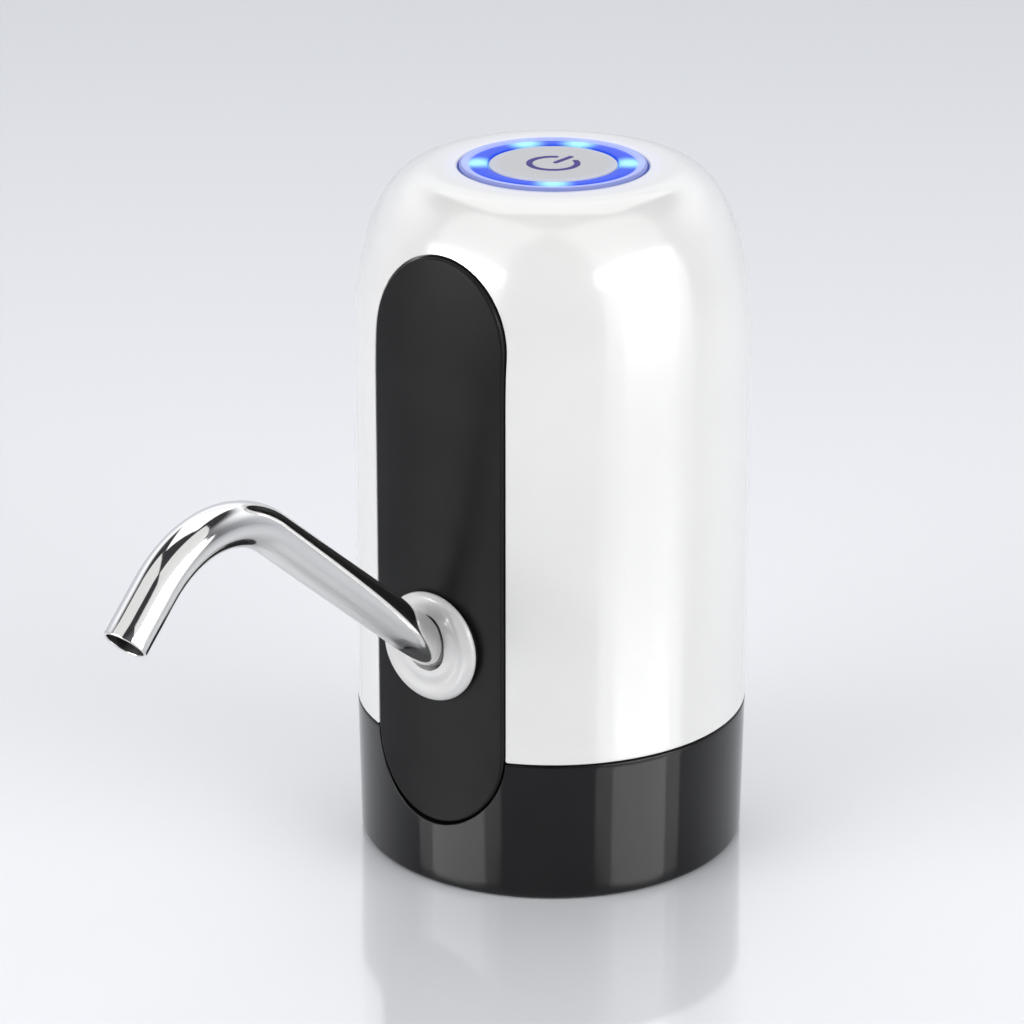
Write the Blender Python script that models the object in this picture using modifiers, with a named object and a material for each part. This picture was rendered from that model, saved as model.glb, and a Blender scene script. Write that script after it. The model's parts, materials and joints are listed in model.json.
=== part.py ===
"""Rechargeable pump that sits on the neck of a bottled-water canister.

The housing stands on z = 0 with +Z up. The front panel and the spout face -Y.
The origin is the middle of the footprint of the whole object, spout included, so the
housing's own axis lies at y = AXIS_Y. Everything hangs from empties on the axes.
"""
from math import cos, pi, radians, sin, sqrt

import bmesh
import bpy
from mathutils import Matrix, Vector

MM = 0.001

# Shared fits
GAP = 0.3 * MM
MERGE = 0.01 * MM
OVERRUN = 2.0 * MM
JOIN = 0.6 * MM
SHARP_ANGLE = radians(35.0)
STEPS_LARGE = 40
STEPS_MEDIUM = 24
STEPS_FITTING = 20
STEPS_SMALL = 12
STEPS_TINY = 8

# Housing
BODY_RADIUS = 36.5 * MM
BODY_HEIGHT = 129.5 * MM
SEAM_HEIGHT = 27.0 * MM
SEAM_GAP = 0.3 * MM
SHELL_WALL = 2.0 * MM
DOME_RISE = 35.0 * MM
DOME_FLAT_RADIUS = 21.6 * MM
DOME_POWER = 2.3
DOME_STEPS = 8

# Base and bottle recess
BASE_WALL = 2.0 * MM
BASE_DRAFT = 0.45 * MM
BASE_FILLET = 1.2 * MM
BASE_FILLET_STEPS = 4
BASE_FLOOR = 2.0 * MM
NECK_INSET = 8.3 * MM
NECK_WALL = 1.6 * MM
NECK_LEAD_IN = 0.8 * MM
RECESS_HEIGHT = 25.0 * MM

# Inner deck and neck gasket
DECK_THICKNESS = 2.4 * MM
GASKET_THICKNESS = 2.0 * MM
GASKET_SEAT = 7.2 * MM

# Case screws and their bosses
CASE_SCREW_COUNT = 4
CASE_SCREW_INSET = 4.5 * MM
CASE_SCREW_RADIUS = 1.0 * MM
CASE_SCREW_HEAD_RADIUS = 1.9 * MM
CASE_SCREW_HEAD_HEIGHT = 1.5 * MM
CASE_SCREW_DEPTH = 8.0 * MM
CASE_SCREW_LENGTH = 18.0 * MM
CASE_BOSS_RADIUS = 3.3 * MM
SHELL_BOSS_LENGTH = 12.0 * MM

# Front panel
PANEL_INSET = 0.8 * MM
PANEL_HALF_WIDTH = 14.35 * MM
PANEL_END_HEIGHT = 15.8 * MM
PANEL_BOTTOM = 12.6 * MM
PANEL_TOP_DROP = 9.7 * MM
PANEL_THICKNESS = 4.5 * MM
PANEL_FACE_WALL = 2.4 * MM
PANEL_SIDE_WALL = 3.0 * MM
PANEL_EDGE = 0.5 * MM
PANEL_ARC_STEPS = 10
PANEL_CROWN_RADIUS = 55.0 * MM
PANEL_LEAN_SHARE = 0.6
PANEL_LEAN_ROWS = 3
PANEL_COLUMNS = 6

# Spout collar, turned about the spout's stub
SPOUT_HEIGHT = 47.5 * MM
COLLAR_FLANGE_RADIUS = 10.3 * MM
COLLAR_FLANGE_HEIGHT = 0.9 * MM
COLLAR_RIDGE_RADIUS = 8.4 * MM
COLLAR_RIDGE_HEIGHT = 2.1 * MM
COLLAR_FRONT_HEIGHT = 2.3 * MM
COLLAR_NECK_RADIUS = 7.6 * MM
COLLAR_CLIP_RADIUS = 9.4 * MM
COLLAR_CLIP_THICKNESS = 1.2 * MM
COLLAR_ARC_STEPS = 4
COLLAR_LAND_INSET = 0.7 * MM

# Spout tube
TUBE_RADIUS = 4.0 * MM
TUBE_WALL = 0.55 * MM
SPOUT_STANDOFF = 0.69 * MM
SPOUT_FIRST_BEND = 5.0 * MM
SPOUT_RISE = radians(38.8)
SPOUT_STRAIGHT = 53.81 * MM
SPOUT_SECOND_BEND = 22.4 * MM
SPOUT_FALL = radians(43.4)
SPOUT_TIP = 10.8 * MM
FIRST_BEND_STEPS = 6
SECOND_BEND_STEPS = 12
TUBE_BEVEL_STEPS = 3

# Outlet socket behind the panel
SOCKET_RADIUS = 7.4 * MM
SOCKET_FLANGE_RADIUS = 12.6 * MM
SOCKET_FLANGE_THICKNESS = 1.8 * MM
SOCKET_LENGTH_SHARE = 0.8
SOCKET_BACK_WALL = 1.5 * MM
O_RING_SECTION = 0.75 * MM
O_RING_SHARE = 0.28
TUBE_END_SHARE = 0.565
O_RING_SLACK = 0.3 * MM
O_RING_STEPS = 8
SOCKET_NIPPLE_PLACE_SHARE = 0.735
SOCKET_NIPPLE_LENGTH_SHARE = 0.22

# Hoses and their nipples
NIPPLE_RADIUS = 2.4 * MM
NIPPLE_BORE_RADIUS = 1.6 * MM
HOSE_WALL = 1.2 * MM
BARB_DROP = 16.0 * MM
BARB_RADIUS = 3.2 * MM
BARB_RIDGE_RADIUS = 3.8 * MM
BARB_RIDGE_PITCH = 4.0 * MM
BARB_RIDGES = 3
BARB_CREST_SHARE = 0.6
BARB_FLANGE_RADIUS = 7.0 * MM
BARB_FLANGE_THICKNESS = 1.8 * MM
BARB_NECK_RADIUS = 4.0 * MM
BARB_NIPPLE_SHARE = 0.29
OUTLET_HOSE_DIP_SHARE = 1.1
OUTLET_HOSE_STEPS = 12
HOSE_BEVEL_STEPS = 2

# Pump head, a square stack under the motor
PUMP_RISE_SHARE = 0.3822
PUMP_HALF_SIDE = 13.4 * MM
PUMP_CORNER = 3.0 * MM
COVER_THICKNESS = 4.0 * MM
COVER_POCKET_RADIUS = 4.2 * MM
COVER_POCKET_DEPTH = 1.8 * MM
NOZZLE_SHARE = 0.3
DISCHARGE_X = 3.0 * MM
DISCHARGE_Y = -3.0 * MM
GROOVE_WIDTH = 2.0 * MM
GROOVE_DEPTH = 1.5 * MM
VALVE_PLATE_THICKNESS = 2.4 * MM
VALVE_CAP_RADIUS = 3.4 * MM
VALVE_CAP_THICKNESS = 0.8 * MM
VALVE_STEM_RADIUS = 0.9 * MM
PORT_RADIUS = 1.0 * MM
OUTLET_PORT_RADIUS = 0.6 * MM
OUTLET_PORT_CIRCLE = 2.4 * MM
DIAPHRAGM_THICKNESS = 1.2 * MM
CUP_COUNT = 3
CUP_CIRCLE = 7.0 * MM
CUP_RADIUS = 4.1 * MM
CUP_HEIGHT = 4.6 * MM
CUP_WALL = 0.9 * MM
CUP_STEM_RADIUS = 1.0 * MM
CUP_STEM_HEIGHT = 1.2 * MM
FRAME_THICKNESS = 4.6 * MM
PUMP_SCREW_INSET = 2.6 * MM
PUMP_SCREW_RADIUS = 0.9 * MM
PUMP_SCREW_HEAD_RADIUS = 1.7 * MM
PUMP_SCREW_HEAD_HEIGHT = 1.2 * MM
PUMP_SCREW_LENGTH = 17.0 * MM
HOUSING_HEIGHT = 18.0 * MM
HOUSING_CAVITY_RADIUS = 11.0 * MM
HOUSING_TOP_WALL = 1.6 * MM
HOUSING_SHAFT_HOLE = 2.2 * MM

# Wobble drive
WOBBLE_TILT = radians(6.0)
WOBBLE_PIVOT = 3.4 * MM
WOBBLE_RADIUS = 9.2 * MM
WOBBLE_THICKNESS = 1.8 * MM
WOBBLE_HUB_RADIUS = 2.2 * MM
WOBBLE_HUB_HEIGHT = 4.2 * MM
PIN_RADIUS = 0.75 * MM
PIN_BOTTOM = 1.2 * MM
PIN_DEPTH_SHARE = 0.371
WHEEL_RADIUS = 4.6 * MM
WHEEL_BOTTOM = 8.4 * MM
WHEEL_CLEARANCE = 1.0 * MM
WHEEL_SHAFT_SHARE = 0.457

# Motor
MOTOR_RADIUS = 12.2 * MM
MOTOR_LENGTH_SHARE = 0.5102
MOTOR_WALL = 0.8 * MM
SHAFT_RADIUS = 1.0 * MM
ARMATURE_RADIUS = 9.5 * MM
ARMATURE_LENGTH_SHARE = 0.618
ARMATURE_RISE_SHARE = 0.218
END_CAP_RADIUS = 11.8 * MM
END_CAP_THICKNESS = 2.6 * MM
TERMINAL_PLACE = 6.0 * MM
TERMINAL_WIDTH = 2.0 * MM
TERMINAL_THICKNESS = 0.6 * MM
TERMINAL_HEIGHT = 2.5 * MM

# Battery
BATTERY_RADIUS = 9.1 * MM
BATTERY_LENGTH = 65.0 * MM
BATTERY_EDGE = 0.8 * MM
CRADLE_WALL = 1.5 * MM
CRADLE_HEIGHT_SHARE = 0.9
CRADLE_CLEARANCE = 0.8 * MM
CRADLE_LIP = 4.0 * MM
CRADLE_OPENING = 3.0 * MM

# Main board with the charging socket
BOARD_THICKNESS = 1.6 * MM
BOARD_WIDTH = 28.0 * MM
BOARD_FRONT = 14.0 * MM
BOARD_CLEARANCE = 0.5 * MM
BOARD_TONGUE_MARGIN = 1.0 * MM
BOARD_POST_HEIGHT = 3.3 * MM
BOARD_POST_RADIUS = 2.4 * MM
BOARD_POST_X = 10.5 * MM
BOARD_POST_SHARE = 0.235
BOARD_SCREW_RADIUS = 0.9 * MM
BOARD_SCREW_HEAD_RADIUS = 1.7 * MM
BOARD_SCREW_HEAD_HEIGHT = 1.1 * MM
BOARD_SCREW_LENGTH = 4.0 * MM
USB_WIDTH = 7.6 * MM
USB_HEIGHT = 2.7 * MM
USB_DEPTH = 5.6 * MM
USB_WALL = 0.4 * MM
USB_FACE_INSET = 0.8 * MM
CHIP_LENGTH = 5.0 * MM
CHIP_WIDTH = 4.0 * MM
CHIP_HEIGHT = 1.5 * MM
CHIP_X = -6.0 * MM
CHIP_DEPTH_SHARE = 0.53
TRANSISTOR_LENGTH = 3.0 * MM
TRANSISTOR_WIDTH = 2.4 * MM
TRANSISTOR_HEIGHT = 1.1 * MM
TRANSISTOR_X = 7.0 * MM
TRANSISTOR_DEPTH_SHARE = 0.675

# Light ring, button and their board
RING_RADIUS = 17.0 * MM
RING_BORE_RADIUS = 12.0 * MM
RING_RISE = 0.4 * MM
RING_EDGE = 0.4 * MM
RING_FLANGE_RADIUS = 18.3 * MM
RING_FLANGE_THICKNESS = 1.3 * MM
BUTTON_TRAVEL = 0.5 * MM
BUTTON_RISE = 0.2 * MM
BUTTON_EDGE = 0.5 * MM
BUTTON_WALL = 1.5 * MM
BUTTON_TOP_WALL = 2.4 * MM
BUTTON_FLANGE_RADIUS = 12.5 * MM
BUTTON_FLANGE_THICKNESS = 0.8 * MM
BUTTON_STEM_RADIUS = 2.2 * MM
BUTTON_BOARD_DROP = 7.5 * MM
BUTTON_BOARD_RADIUS = 23.5 * MM
BUTTON_POST_PLACE = 21.0 * MM
BUTTON_POST_RADIUS = 2.2 * MM
SWITCH_SIDE = 6.0 * MM
SWITCH_HEIGHT = 3.4 * MM
PLUNGER_RADIUS = 1.7 * MM
PLUNGER_HEIGHT = 1.7 * MM
PLUNGER_WELL = 1.2 * MM
LED_CIRCLE = 14.2 * MM
LED_LENGTH = 3.0 * MM
LED_WIDTH = 2.6 * MM
LED_HEIGHT = 1.0 * MM
LED_ANGLES = [radians(35.0), radians(105.0), radians(147.0), radians(215.0), radians(305.0)]

# Wires
WIRE_RADIUS = 0.6 * MM
BUTTON_LEAD_RADIUS = 1.0 * MM
WIRE_STEPS = 3

# Where the leads start and end. An end is a share of the main board's width and depth
BATTERY_LEAD_SETBACK = 3.0 * MM
BATTERY_LEAD_SPACING = 2.5 * MM
MOTOR_LEAD_SETBACK = 1.6 * MM
BUTTON_LEAD_X = -3.0 * MM
BUTTON_LEAD_SETBACK = 13.0 * MM
BATTERY_POSITIVE_END_SHARES = (-0.4357, 0.47)
BATTERY_NEGATIVE_END_SHARES = (-0.4429, 0.675)
MOTOR_POSITIVE_END_SHARES = (0.4107, 0.499)
MOTOR_NEGATIVE_END_SHARES = (0.107, 0.352)
BUTTON_END_SHARES = (-0.0536, 0.705)

# Routes as shares of the way across and back from start to end, and of the height. A
# height above 1 is a share of the room between the start and the button board
BATTERY_POSITIVE_SHARES = [
    (0.0, 0.0, 1.0),
    (0.05, 0.21, 1.163),
    (0.64, 0.58, 1.054),
    (0.92, 0.84, 0.84),
    (1.02, 0.92, 0.45),
    (1.02, 0.97, 0.15),
    (1.0, 1.0, 0.0),
]
BATTERY_NEGATIVE_SHARES = [
    (0.0, 0.0, 1.0),
    (0.04, 0.22, 1.163),
    (0.53, 0.6, 1.054),
    (0.84, 0.82, 0.84),
    (0.955, 0.93, 0.45),
    (0.985, 0.98, 0.15),
    (1.0, 1.0, 0.0),
]
MOTOR_POSITIVE_SHARES = [
    (0.0, 0.0, 1.0),
    (0.0, 0.21, 1.39),
    (0.0, 0.665, 1.0),
    (0.67, 0.833, 0.8),
    (1.0, 0.857, 0.35),
    (1.0, 0.976, 0.1),
    (1.0, 1.0, 0.0),
]
MOTOR_NEGATIVE_SHARES = [
    (0.0, 0.0, 1.0),
    (0.0, 0.24, 1.39),
    (0.5, 0.755, 1.0),
    (1.0, 0.945, 0.8),
    (1.25, 0.973, 0.35),
    (1.1, 1.0, 0.1),
    (1.0, 1.0, 0.0),
]
BUTTON_SHARES = [
    (0.0, 0.0, 1.0),
    (0.0, 0.0, 0.96),
    (0.0, 0.19, 0.92),
    (0.0, 0.5, 0.85),
    (-0.33, 0.615, 0.5),
    (0.33, 0.846, 0.15),
    (1.0, 1.0, 0.0),
]

# Places worked out from the sizes above
PANEL_FACE = BODY_RADIUS - PANEL_INSET
PANEL_TOP = BODY_HEIGHT - PANEL_TOP_DROP
PANEL_BACK = PANEL_FACE - PANEL_THICKNESS - GAP
SPOUT_CORNER = PANEL_FACE + SPOUT_STANDOFF
SPOUT_FIRST_TANGENT = SPOUT_FIRST_BEND * sin(SPOUT_RISE) / (1 + cos(SPOUT_RISE))
SPOUT_BEND_START = SPOUT_CORNER - SPOUT_FIRST_TANGENT
SPOUT_REACH = (
    SPOUT_BEND_START
    + SPOUT_FIRST_BEND * sin(SPOUT_RISE)
    + SPOUT_STRAIGHT * cos(SPOUT_RISE)
    + SPOUT_SECOND_BEND * (sin(SPOUT_RISE) + sin(SPOUT_FALL))
    + SPOUT_TIP * cos(SPOUT_FALL)
)
AXIS_Y = (SPOUT_REACH + TUBE_RADIUS * sin(SPOUT_FALL) - BODY_RADIUS) / 2
DOME_START = BODY_HEIGHT - DOME_RISE
SHELL_BORE = BODY_RADIUS - SHELL_WALL
CEILING = BODY_HEIGHT - SHELL_WALL
DECK_TOP = RECESS_HEIGHT + DECK_THICKNESS
NECK_BORE_RADIUS = BODY_RADIUS - NECK_INSET
GASKET_BORE_RADIUS = NECK_BORE_RADIUS - GASKET_SEAT
CASE_SCREW_CIRCLE = BODY_RADIUS - CASE_SCREW_INSET
CASE_SCREW_SEAT = RECESS_HEIGHT - CASE_SCREW_DEPTH
BARB_BOTTOM = RECESS_HEIGHT - BARB_DROP

# The works stand between the deck and the button board
BUTTON_BOARD_TOP = CEILING - BUTTON_BOARD_DROP
BUTTON_BOARD_BOTTOM = BUTTON_BOARD_TOP - BOARD_THICKNESS
PUMP_HEAD_HEIGHT = (
    COVER_THICKNESS + VALVE_PLATE_THICKNESS + DIAPHRAGM_THICKNESS + FRAME_THICKNESS + 3 * GAP
)
FREE_HEIGHT = (
    BUTTON_BOARD_BOTTOM - DECK_TOP - PUMP_HEAD_HEIGHT - HOUSING_HEIGHT - END_CAP_THICKNESS
    - TERMINAL_HEIGHT - 3 * GAP
)
PUMP_RISE = PUMP_RISE_SHARE * FREE_HEIGHT
MOTOR_LENGTH = MOTOR_LENGTH_SHARE * FREE_HEIGHT
PUMP_BOTTOM = DECK_TOP + PUMP_RISE
PUMP_HEAD_TOP = PUMP_BOTTOM + PUMP_HEAD_HEIGHT
DIAPHRAGM_BOTTOM = PUMP_BOTTOM + COVER_THICKNESS + VALVE_PLATE_THICKNESS + 2 * GAP
HOUSING_BOTTOM = PUMP_HEAD_TOP + GAP
WHEEL_HEIGHT = HOUSING_HEIGHT - HOUSING_TOP_WALL - WHEEL_BOTTOM - WHEEL_CLEARANCE
WHEEL_SHAFT_DEPTH = WHEEL_SHAFT_SHARE * WHEEL_HEIGHT
PIN_TOP = WHEEL_BOTTOM + PIN_DEPTH_SHARE * WHEEL_HEIGHT - WOBBLE_PIVOT
MOTOR_BOTTOM = HOUSING_BOTTOM + HOUSING_HEIGHT + GAP
NOZZLE_LENGTH = NOZZLE_SHARE * PUMP_RISE
BARB_NIPPLE_LENGTH = BARB_NIPPLE_SHARE * PUMP_RISE
CRADLE_HEIGHT = CRADLE_HEIGHT_SHARE * PUMP_RISE
CRADLE_RADIUS = BATTERY_RADIUS + GAP + CRADLE_WALL
BATTERY_X = CRADLE_RADIUS + CRADLE_CLEARANCE - SHELL_BORE

# The suction nozzle, under the ring of cups, stands over the barb on the housing's axis
PUMP_X = CUP_CIRCLE

# The outlet socket fills its share of the room between the panel and the pump
SOCKET_LENGTH = SOCKET_LENGTH_SHARE * (PANEL_BACK - PUMP_HALF_SIDE)
SOCKET_BACK = PANEL_BACK - SOCKET_LENGTH
O_RING_PLACE = PANEL_BACK - O_RING_SHARE * SOCKET_LENGTH
TUBE_INNER_END = PANEL_BACK - TUBE_END_SHARE * SOCKET_LENGTH
SOCKET_NIPPLE_PLACE = PANEL_BACK - SOCKET_NIPPLE_PLACE_SHARE * SOCKET_LENGTH
SOCKET_UNDERSIDE = SPOUT_HEIGHT - SOCKET_RADIUS
SOCKET_NIPPLE_BOTTOM = SOCKET_UNDERSIDE - SOCKET_NIPPLE_LENGTH_SHARE * (SOCKET_UNDERSIDE - DECK_TOP)

BOARD_REAR = sqrt(SHELL_BORE**2 - (BOARD_WIDTH / 2) ** 2) - BOARD_CLEARANCE
BOARD_DEPTH = BOARD_REAR - BOARD_FRONT
BOARD_TOP = DECK_TOP + BOARD_POST_HEIGHT + GAP + BOARD_THICKNESS
BOARD_TONGUE_HALF_WIDTH = USB_WIDTH / 2 + BOARD_TONGUE_MARGIN
BOARD_TONGUE_END = sqrt(SHELL_BORE**2 - BOARD_TONGUE_HALF_WIDTH**2) - BOARD_CLEARANCE
BOARD_POST_Y = BOARD_FRONT + BOARD_POST_SHARE * BOARD_DEPTH
CHIP_Y = BOARD_FRONT + CHIP_DEPTH_SHARE * BOARD_DEPTH
TRANSISTOR_Y = BOARD_FRONT + TRANSISTOR_DEPTH_SHARE * BOARD_DEPTH

RING_BOTTOM = CEILING - GAP - RING_FLANGE_THICKNESS
BUTTON_TOP = BODY_HEIGHT + BUTTON_RISE
BUTTON_SHOULDER = RING_BOTTOM - GAP
BUTTON_BOTTOM = BUTTON_SHOULDER - BUTTON_FLANGE_THICKNESS
SWITCH_TOP = BUTTON_BOARD_TOP + GAP + SWITCH_HEIGHT
PLUNGER_BOTTOM = SWITCH_TOP - PLUNGER_WELL + BUTTON_TRAVEL + GAP
PLUNGER_TOP = PLUNGER_BOTTOM + PLUNGER_HEIGHT


def start_scene():
    """Empty the scene and make one collection for the parts and one for the cutters."""
    for old in list(bpy.data.objects):
        bpy.data.objects.remove(old, do_unlink=True)
    made = []
    for name in ("bottled_water_pump", "cutters"):
        collection = bpy.data.collections.new(name)
        bpy.context.scene.collection.children.link(collection)
        made.append(collection)
    return made


PARTS, CUTTERS = start_scene()
MATERIALS = {}


def finish(name, colour, roughness, metallic=0.0):
    """A Principled material, made once and shared by name."""
    if name not in MATERIALS:
        made = bpy.data.materials.new(name)
        made.use_nodes = True
        shader = made.node_tree.nodes["Principled BSDF"]
        shader.inputs["Base Color"].default_value = (*colour, 1.0)
        shader.inputs["Roughness"].default_value = roughness
        shader.inputs["Metallic"].default_value = metallic
        MATERIALS[name] = made
    return MATERIALS[name]


def white_plastic():
    return finish("white_plastic", (0.86, 0.86, 0.87), 0.12)


def black_plastic():
    return finish("black_plastic", (0.008, 0.008, 0.009), 0.1)


def panel_plastic():
    return finish("panel_plastic", (0.03, 0.03, 0.032), 0.22)


def inner_plastic():
    return finish("inner_plastic", (0.72, 0.72, 0.7), 0.45)


def dark_plastic():
    return finish("dark_plastic", (0.03, 0.03, 0.03), 0.5)


def silicone():
    return finish("silicone", (0.75, 0.77, 0.76), 0.35)


def black_rubber():
    return finish("black_rubber", (0.02, 0.02, 0.02), 0.6)


def stainless():
    return finish("stainless", (0.78, 0.77, 0.75), 0.08, 1.0)


def plated_steel():
    return finish("plated_steel", (0.6, 0.6, 0.58), 0.3, 1.0)


def board_green():
    return finish("board_green", (0.02, 0.16, 0.06), 0.4)


def empty(name, place, parent=None, turn=(0, 0, 0)):
    """An empty that carries pieces on an axis."""
    made = bpy.data.objects.new(name, None)
    PARTS.objects.link(made)
    made.parent = parent
    made.location = place
    made.rotation_euler = turn
    return made


def add(name, mesh, look, parent, place=(0, 0, 0), turn=(0, 0, 0), cutter=False):
    """Link a mesh or curve as a named piece, or as a hidden cutter."""
    made = bpy.data.objects.new(name, mesh)
    (CUTTERS if cutter else PARTS).objects.link(made)
    made.parent = parent
    made.location = place
    made.rotation_euler = turn
    if cutter:
        made.hide_render = True
        made.display_type = "WIRE"
    else:
        mesh.materials.append(look)
    return made


def turned(name, outline, look, parent, place=(0, 0, 0), steps=STEPS_MEDIUM, cutter=False, turn=(0, 0, 0)):
    """Turn an outline of (radius, height) points about local Z.

    The points run down the outer side first. An outline that starts and ends on the
    axis stays open there, any other is closed into a ring.
    """
    mesh = bpy.data.meshes.new(name)
    points = [(radius, 0, height) for radius, height in outline]
    edges = [(i, i + 1) for i in range(len(points) - 1)]
    on_axis = outline[0][0] == 0 and outline[-1][0] == 0
    if not on_axis:
        edges.append((len(points) - 1, 0))
    mesh.from_pydata(points, edges, [])
    made = add(name, mesh, look, parent, place, turn, cutter)
    screw = made.modifiers.new("turn", "SCREW")
    screw.axis = "Z"
    screw.steps = steps
    screw.render_steps = steps
    screw.use_merge_vertices = True
    screw.merge_threshold = MERGE
    return made


def rod(name, radius, bottom, top, look, parent, place=(0, 0, 0), steps=STEPS_SMALL, cutter=False):
    """A plain upright cylinder between two heights."""
    mesh = bpy.data.meshes.new(name)
    shape = bmesh.new()
    bmesh.ops.create_cone(
        shape, cap_ends=True, segments=steps, radius1=radius, radius2=radius, depth=top - bottom,
        matrix=Matrix.Translation((0, 0, (top + bottom) / 2)),
    )
    shape.to_mesh(mesh)
    shape.free()
    mesh.shade_smooth()
    mesh.set_sharp_from_angle(angle=SHARP_ANGLE)
    return add(name, mesh, look, parent, place, cutter=cutter)


def ring(name, outer, inner, bottom, top, look, parent, place=(0, 0, 0), steps=STEPS_MEDIUM, cutter=False):
    """A plain upright tube between two heights."""
    outline = [(outer, top), (outer, bottom), (inner, bottom), (inner, top)]
    return turned(name, outline, look, parent, place, steps, cutter)


def box(name, size, centre, look, parent, cutter=False, turn=(0, 0, 0), corner=0, corner_steps=3):
    """A box, with its upright edges rounded when a corner radius is given."""
    mesh = bpy.data.meshes.new(name)
    shape = bmesh.new()
    bmesh.ops.create_cube(shape, size=1.0, matrix=Matrix.Diagonal((*size, 1.0)))
    if corner:
        upright = [e for e in shape.edges if abs(e.verts[0].co.z - e.verts[1].co.z) > corner]
        bmesh.ops.bevel(shape, geom=upright, offset=corner, segments=corner_steps,
                         affect="EDGES")
    shape.to_mesh(mesh)
    shape.free()
    return add(name, mesh, look, parent, centre, turn, cutter)


def boolean(target, tool, operation):
    """Leave an exact Boolean on the target."""
    made = target.modifiers.new(tool.name, "BOOLEAN")
    made.object = tool
    made.operation = operation
    made.solver = "EXACT"
    return made


def cut(target, *tools):
    for tool in tools:
        boolean(target, tool, "DIFFERENCE")


def join(target, *tools):
    for tool in tools:
        boolean(target, tool, "UNION")


def polygon_curve(name, points, cyclic, dimensions):
    """A POLY spline through the given points."""
    curve = bpy.data.curves.new(name, "CURVE")
    curve.dimensions = dimensions
    spline = curve.splines.new("POLY")
    spline.points.add(len(points) - 1)
    for point, place in zip(spline.points, points):
        point.co = (*place, 1.0)
    spline.use_cyclic_u = cyclic
    return curve


def outline_solid(name, outline, low, high, look, parent, cutter=False):
    """A flat outline given thickness between two levels of local Z."""
    curve = polygon_curve(name, [(x, y, 0) for x, y in outline], True, "2D")
    curve.fill_mode = "BOTH"
    curve.extrude = (high - low) / 2
    guide = add(name + "_outline", curve, look, parent, (0, 0, (high + low) / 2), cutter=True)
    bpy.context.view_layer.update()
    evaluated = guide.evaluated_get(bpy.context.evaluated_depsgraph_get())
    mesh = bpy.data.meshes.new_from_object(evaluated)
    shape = bmesh.new()
    shape.from_mesh(mesh)
    bmesh.ops.remove_doubles(shape, verts=shape.verts, dist=MERGE)
    bmesh.ops.recalc_face_normals(shape, faces=shape.faces)
    shape.to_mesh(mesh)
    shape.free()
    mesh.materials.clear()
    place = guide.location.copy()
    bpy.data.objects.remove(guide, do_unlink=True)
    return add(name, mesh, look, parent, place, cutter=cutter)


def smooth_route(points, steps):
    """Points along a Catmull-Rom curve through the route's own points."""
    ends = [points[0] * 2 - points[1], *points, points[-1] * 2 - points[-2]]
    route = []
    for before, here, there, after in zip(ends, ends[1:], ends[2:], ends[3:]):
        for step in range(steps):
            t = step / steps
            route.append(
                0.5
                * (
                    2 * here
                    + (there - before) * t
                    + (2 * before - 5 * here + 4 * there - after) * t**2
                    + (3 * here - before - 3 * there + after) * t**3
                )
            )
    route.append(points[-1])
    return route


def wire(name, points, radius, look, parent):
    """A round wire along a smooth route, with filled ends."""
    curve = polygon_curve(name, points, False, "3D")
    curve.bevel_depth = radius
    curve.bevel_resolution = 1
    curve.use_fill_caps = True
    return add(name, curve, look, parent)


def pipe(name, points, radius, wall, look, parent, bevel_steps=TUBE_BEVEL_STEPS):
    """A hollow tube along a route: an open skin given its wall inwards."""
    curve = polygon_curve(name, points, False, "3D")
    curve.bevel_depth = radius
    curve.bevel_resolution = bevel_steps
    curve.use_fill_caps = False
    made = add(name, curve, look, parent)
    thick = made.modifiers.new("wall", "SOLIDIFY")
    thick.thickness = wall
    thick.offset = -1.0
    thick.use_even_offset = True
    return made


def around(count, radius, first=0.0):
    """Places spaced evenly on a circle."""
    return [
        Vector((radius * cos(first + 2 * pi * i / count), radius * sin(first + 2 * pi * i / count), 0))
        for i in range(count)
    ]


def dome_points(radius, flat_radius, start, top):
    """The dome's outline from the flat top down to the straight wall."""
    points = []
    for step in range(DOME_STEPS + 1):
        angle = pi / 2 * (1 - step / DOME_STEPS)
        share_out = cos(angle) ** (2 / DOME_POWER) if step else 0
        share_up = sin(angle) ** (2 / DOME_POWER) if step < DOME_STEPS else 0
        points.append((flat_radius + (radius - flat_radius) * share_out, start + (top - start) * share_up))
    return points


def capsule(margin):
    """The front panel's outline as (across, up), grown by a margin."""
    half = PANEL_HALF_WIDTH + margin
    end = PANEL_END_HEIGHT + margin
    high = PANEL_TOP - PANEL_END_HEIGHT
    low = PANEL_BOTTOM + PANEL_END_HEIGHT
    points = []
    for centre, first in ((high, 0), (low, pi)):
        for step in range(PANEL_ARC_STEPS + 1):
            angle = first + pi * step / PANEL_ARC_STEPS
            points.append((half * cos(angle), centre + end * sin(angle)))
    return points


def panel_rows(margin):
    """The same outline as (half width, up) rows from its top to its bottom."""
    half = PANEL_HALF_WIDTH + margin
    end = PANEL_END_HEIGHT + margin
    high = PANEL_TOP - PANEL_END_HEIGHT
    low = PANEL_BOTTOM + PANEL_END_HEIGHT
    quarter = PANEL_ARC_STEPS // 2
    turns = [pi / 2 * step / quarter for step in range(quarter)]
    rows = [(half * sin(angle), high + end * cos(angle)) for angle in turns]
    for step in range(PANEL_LEAN_ROWS + 1):
        rows.append((half, high + (DOME_START - high) * step / PANEL_LEAN_ROWS))
    rows.append((half, low))
    rows += [(half * sin(angle), low - end * cos(angle)) for angle in reversed(turns)]
    return rows


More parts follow.
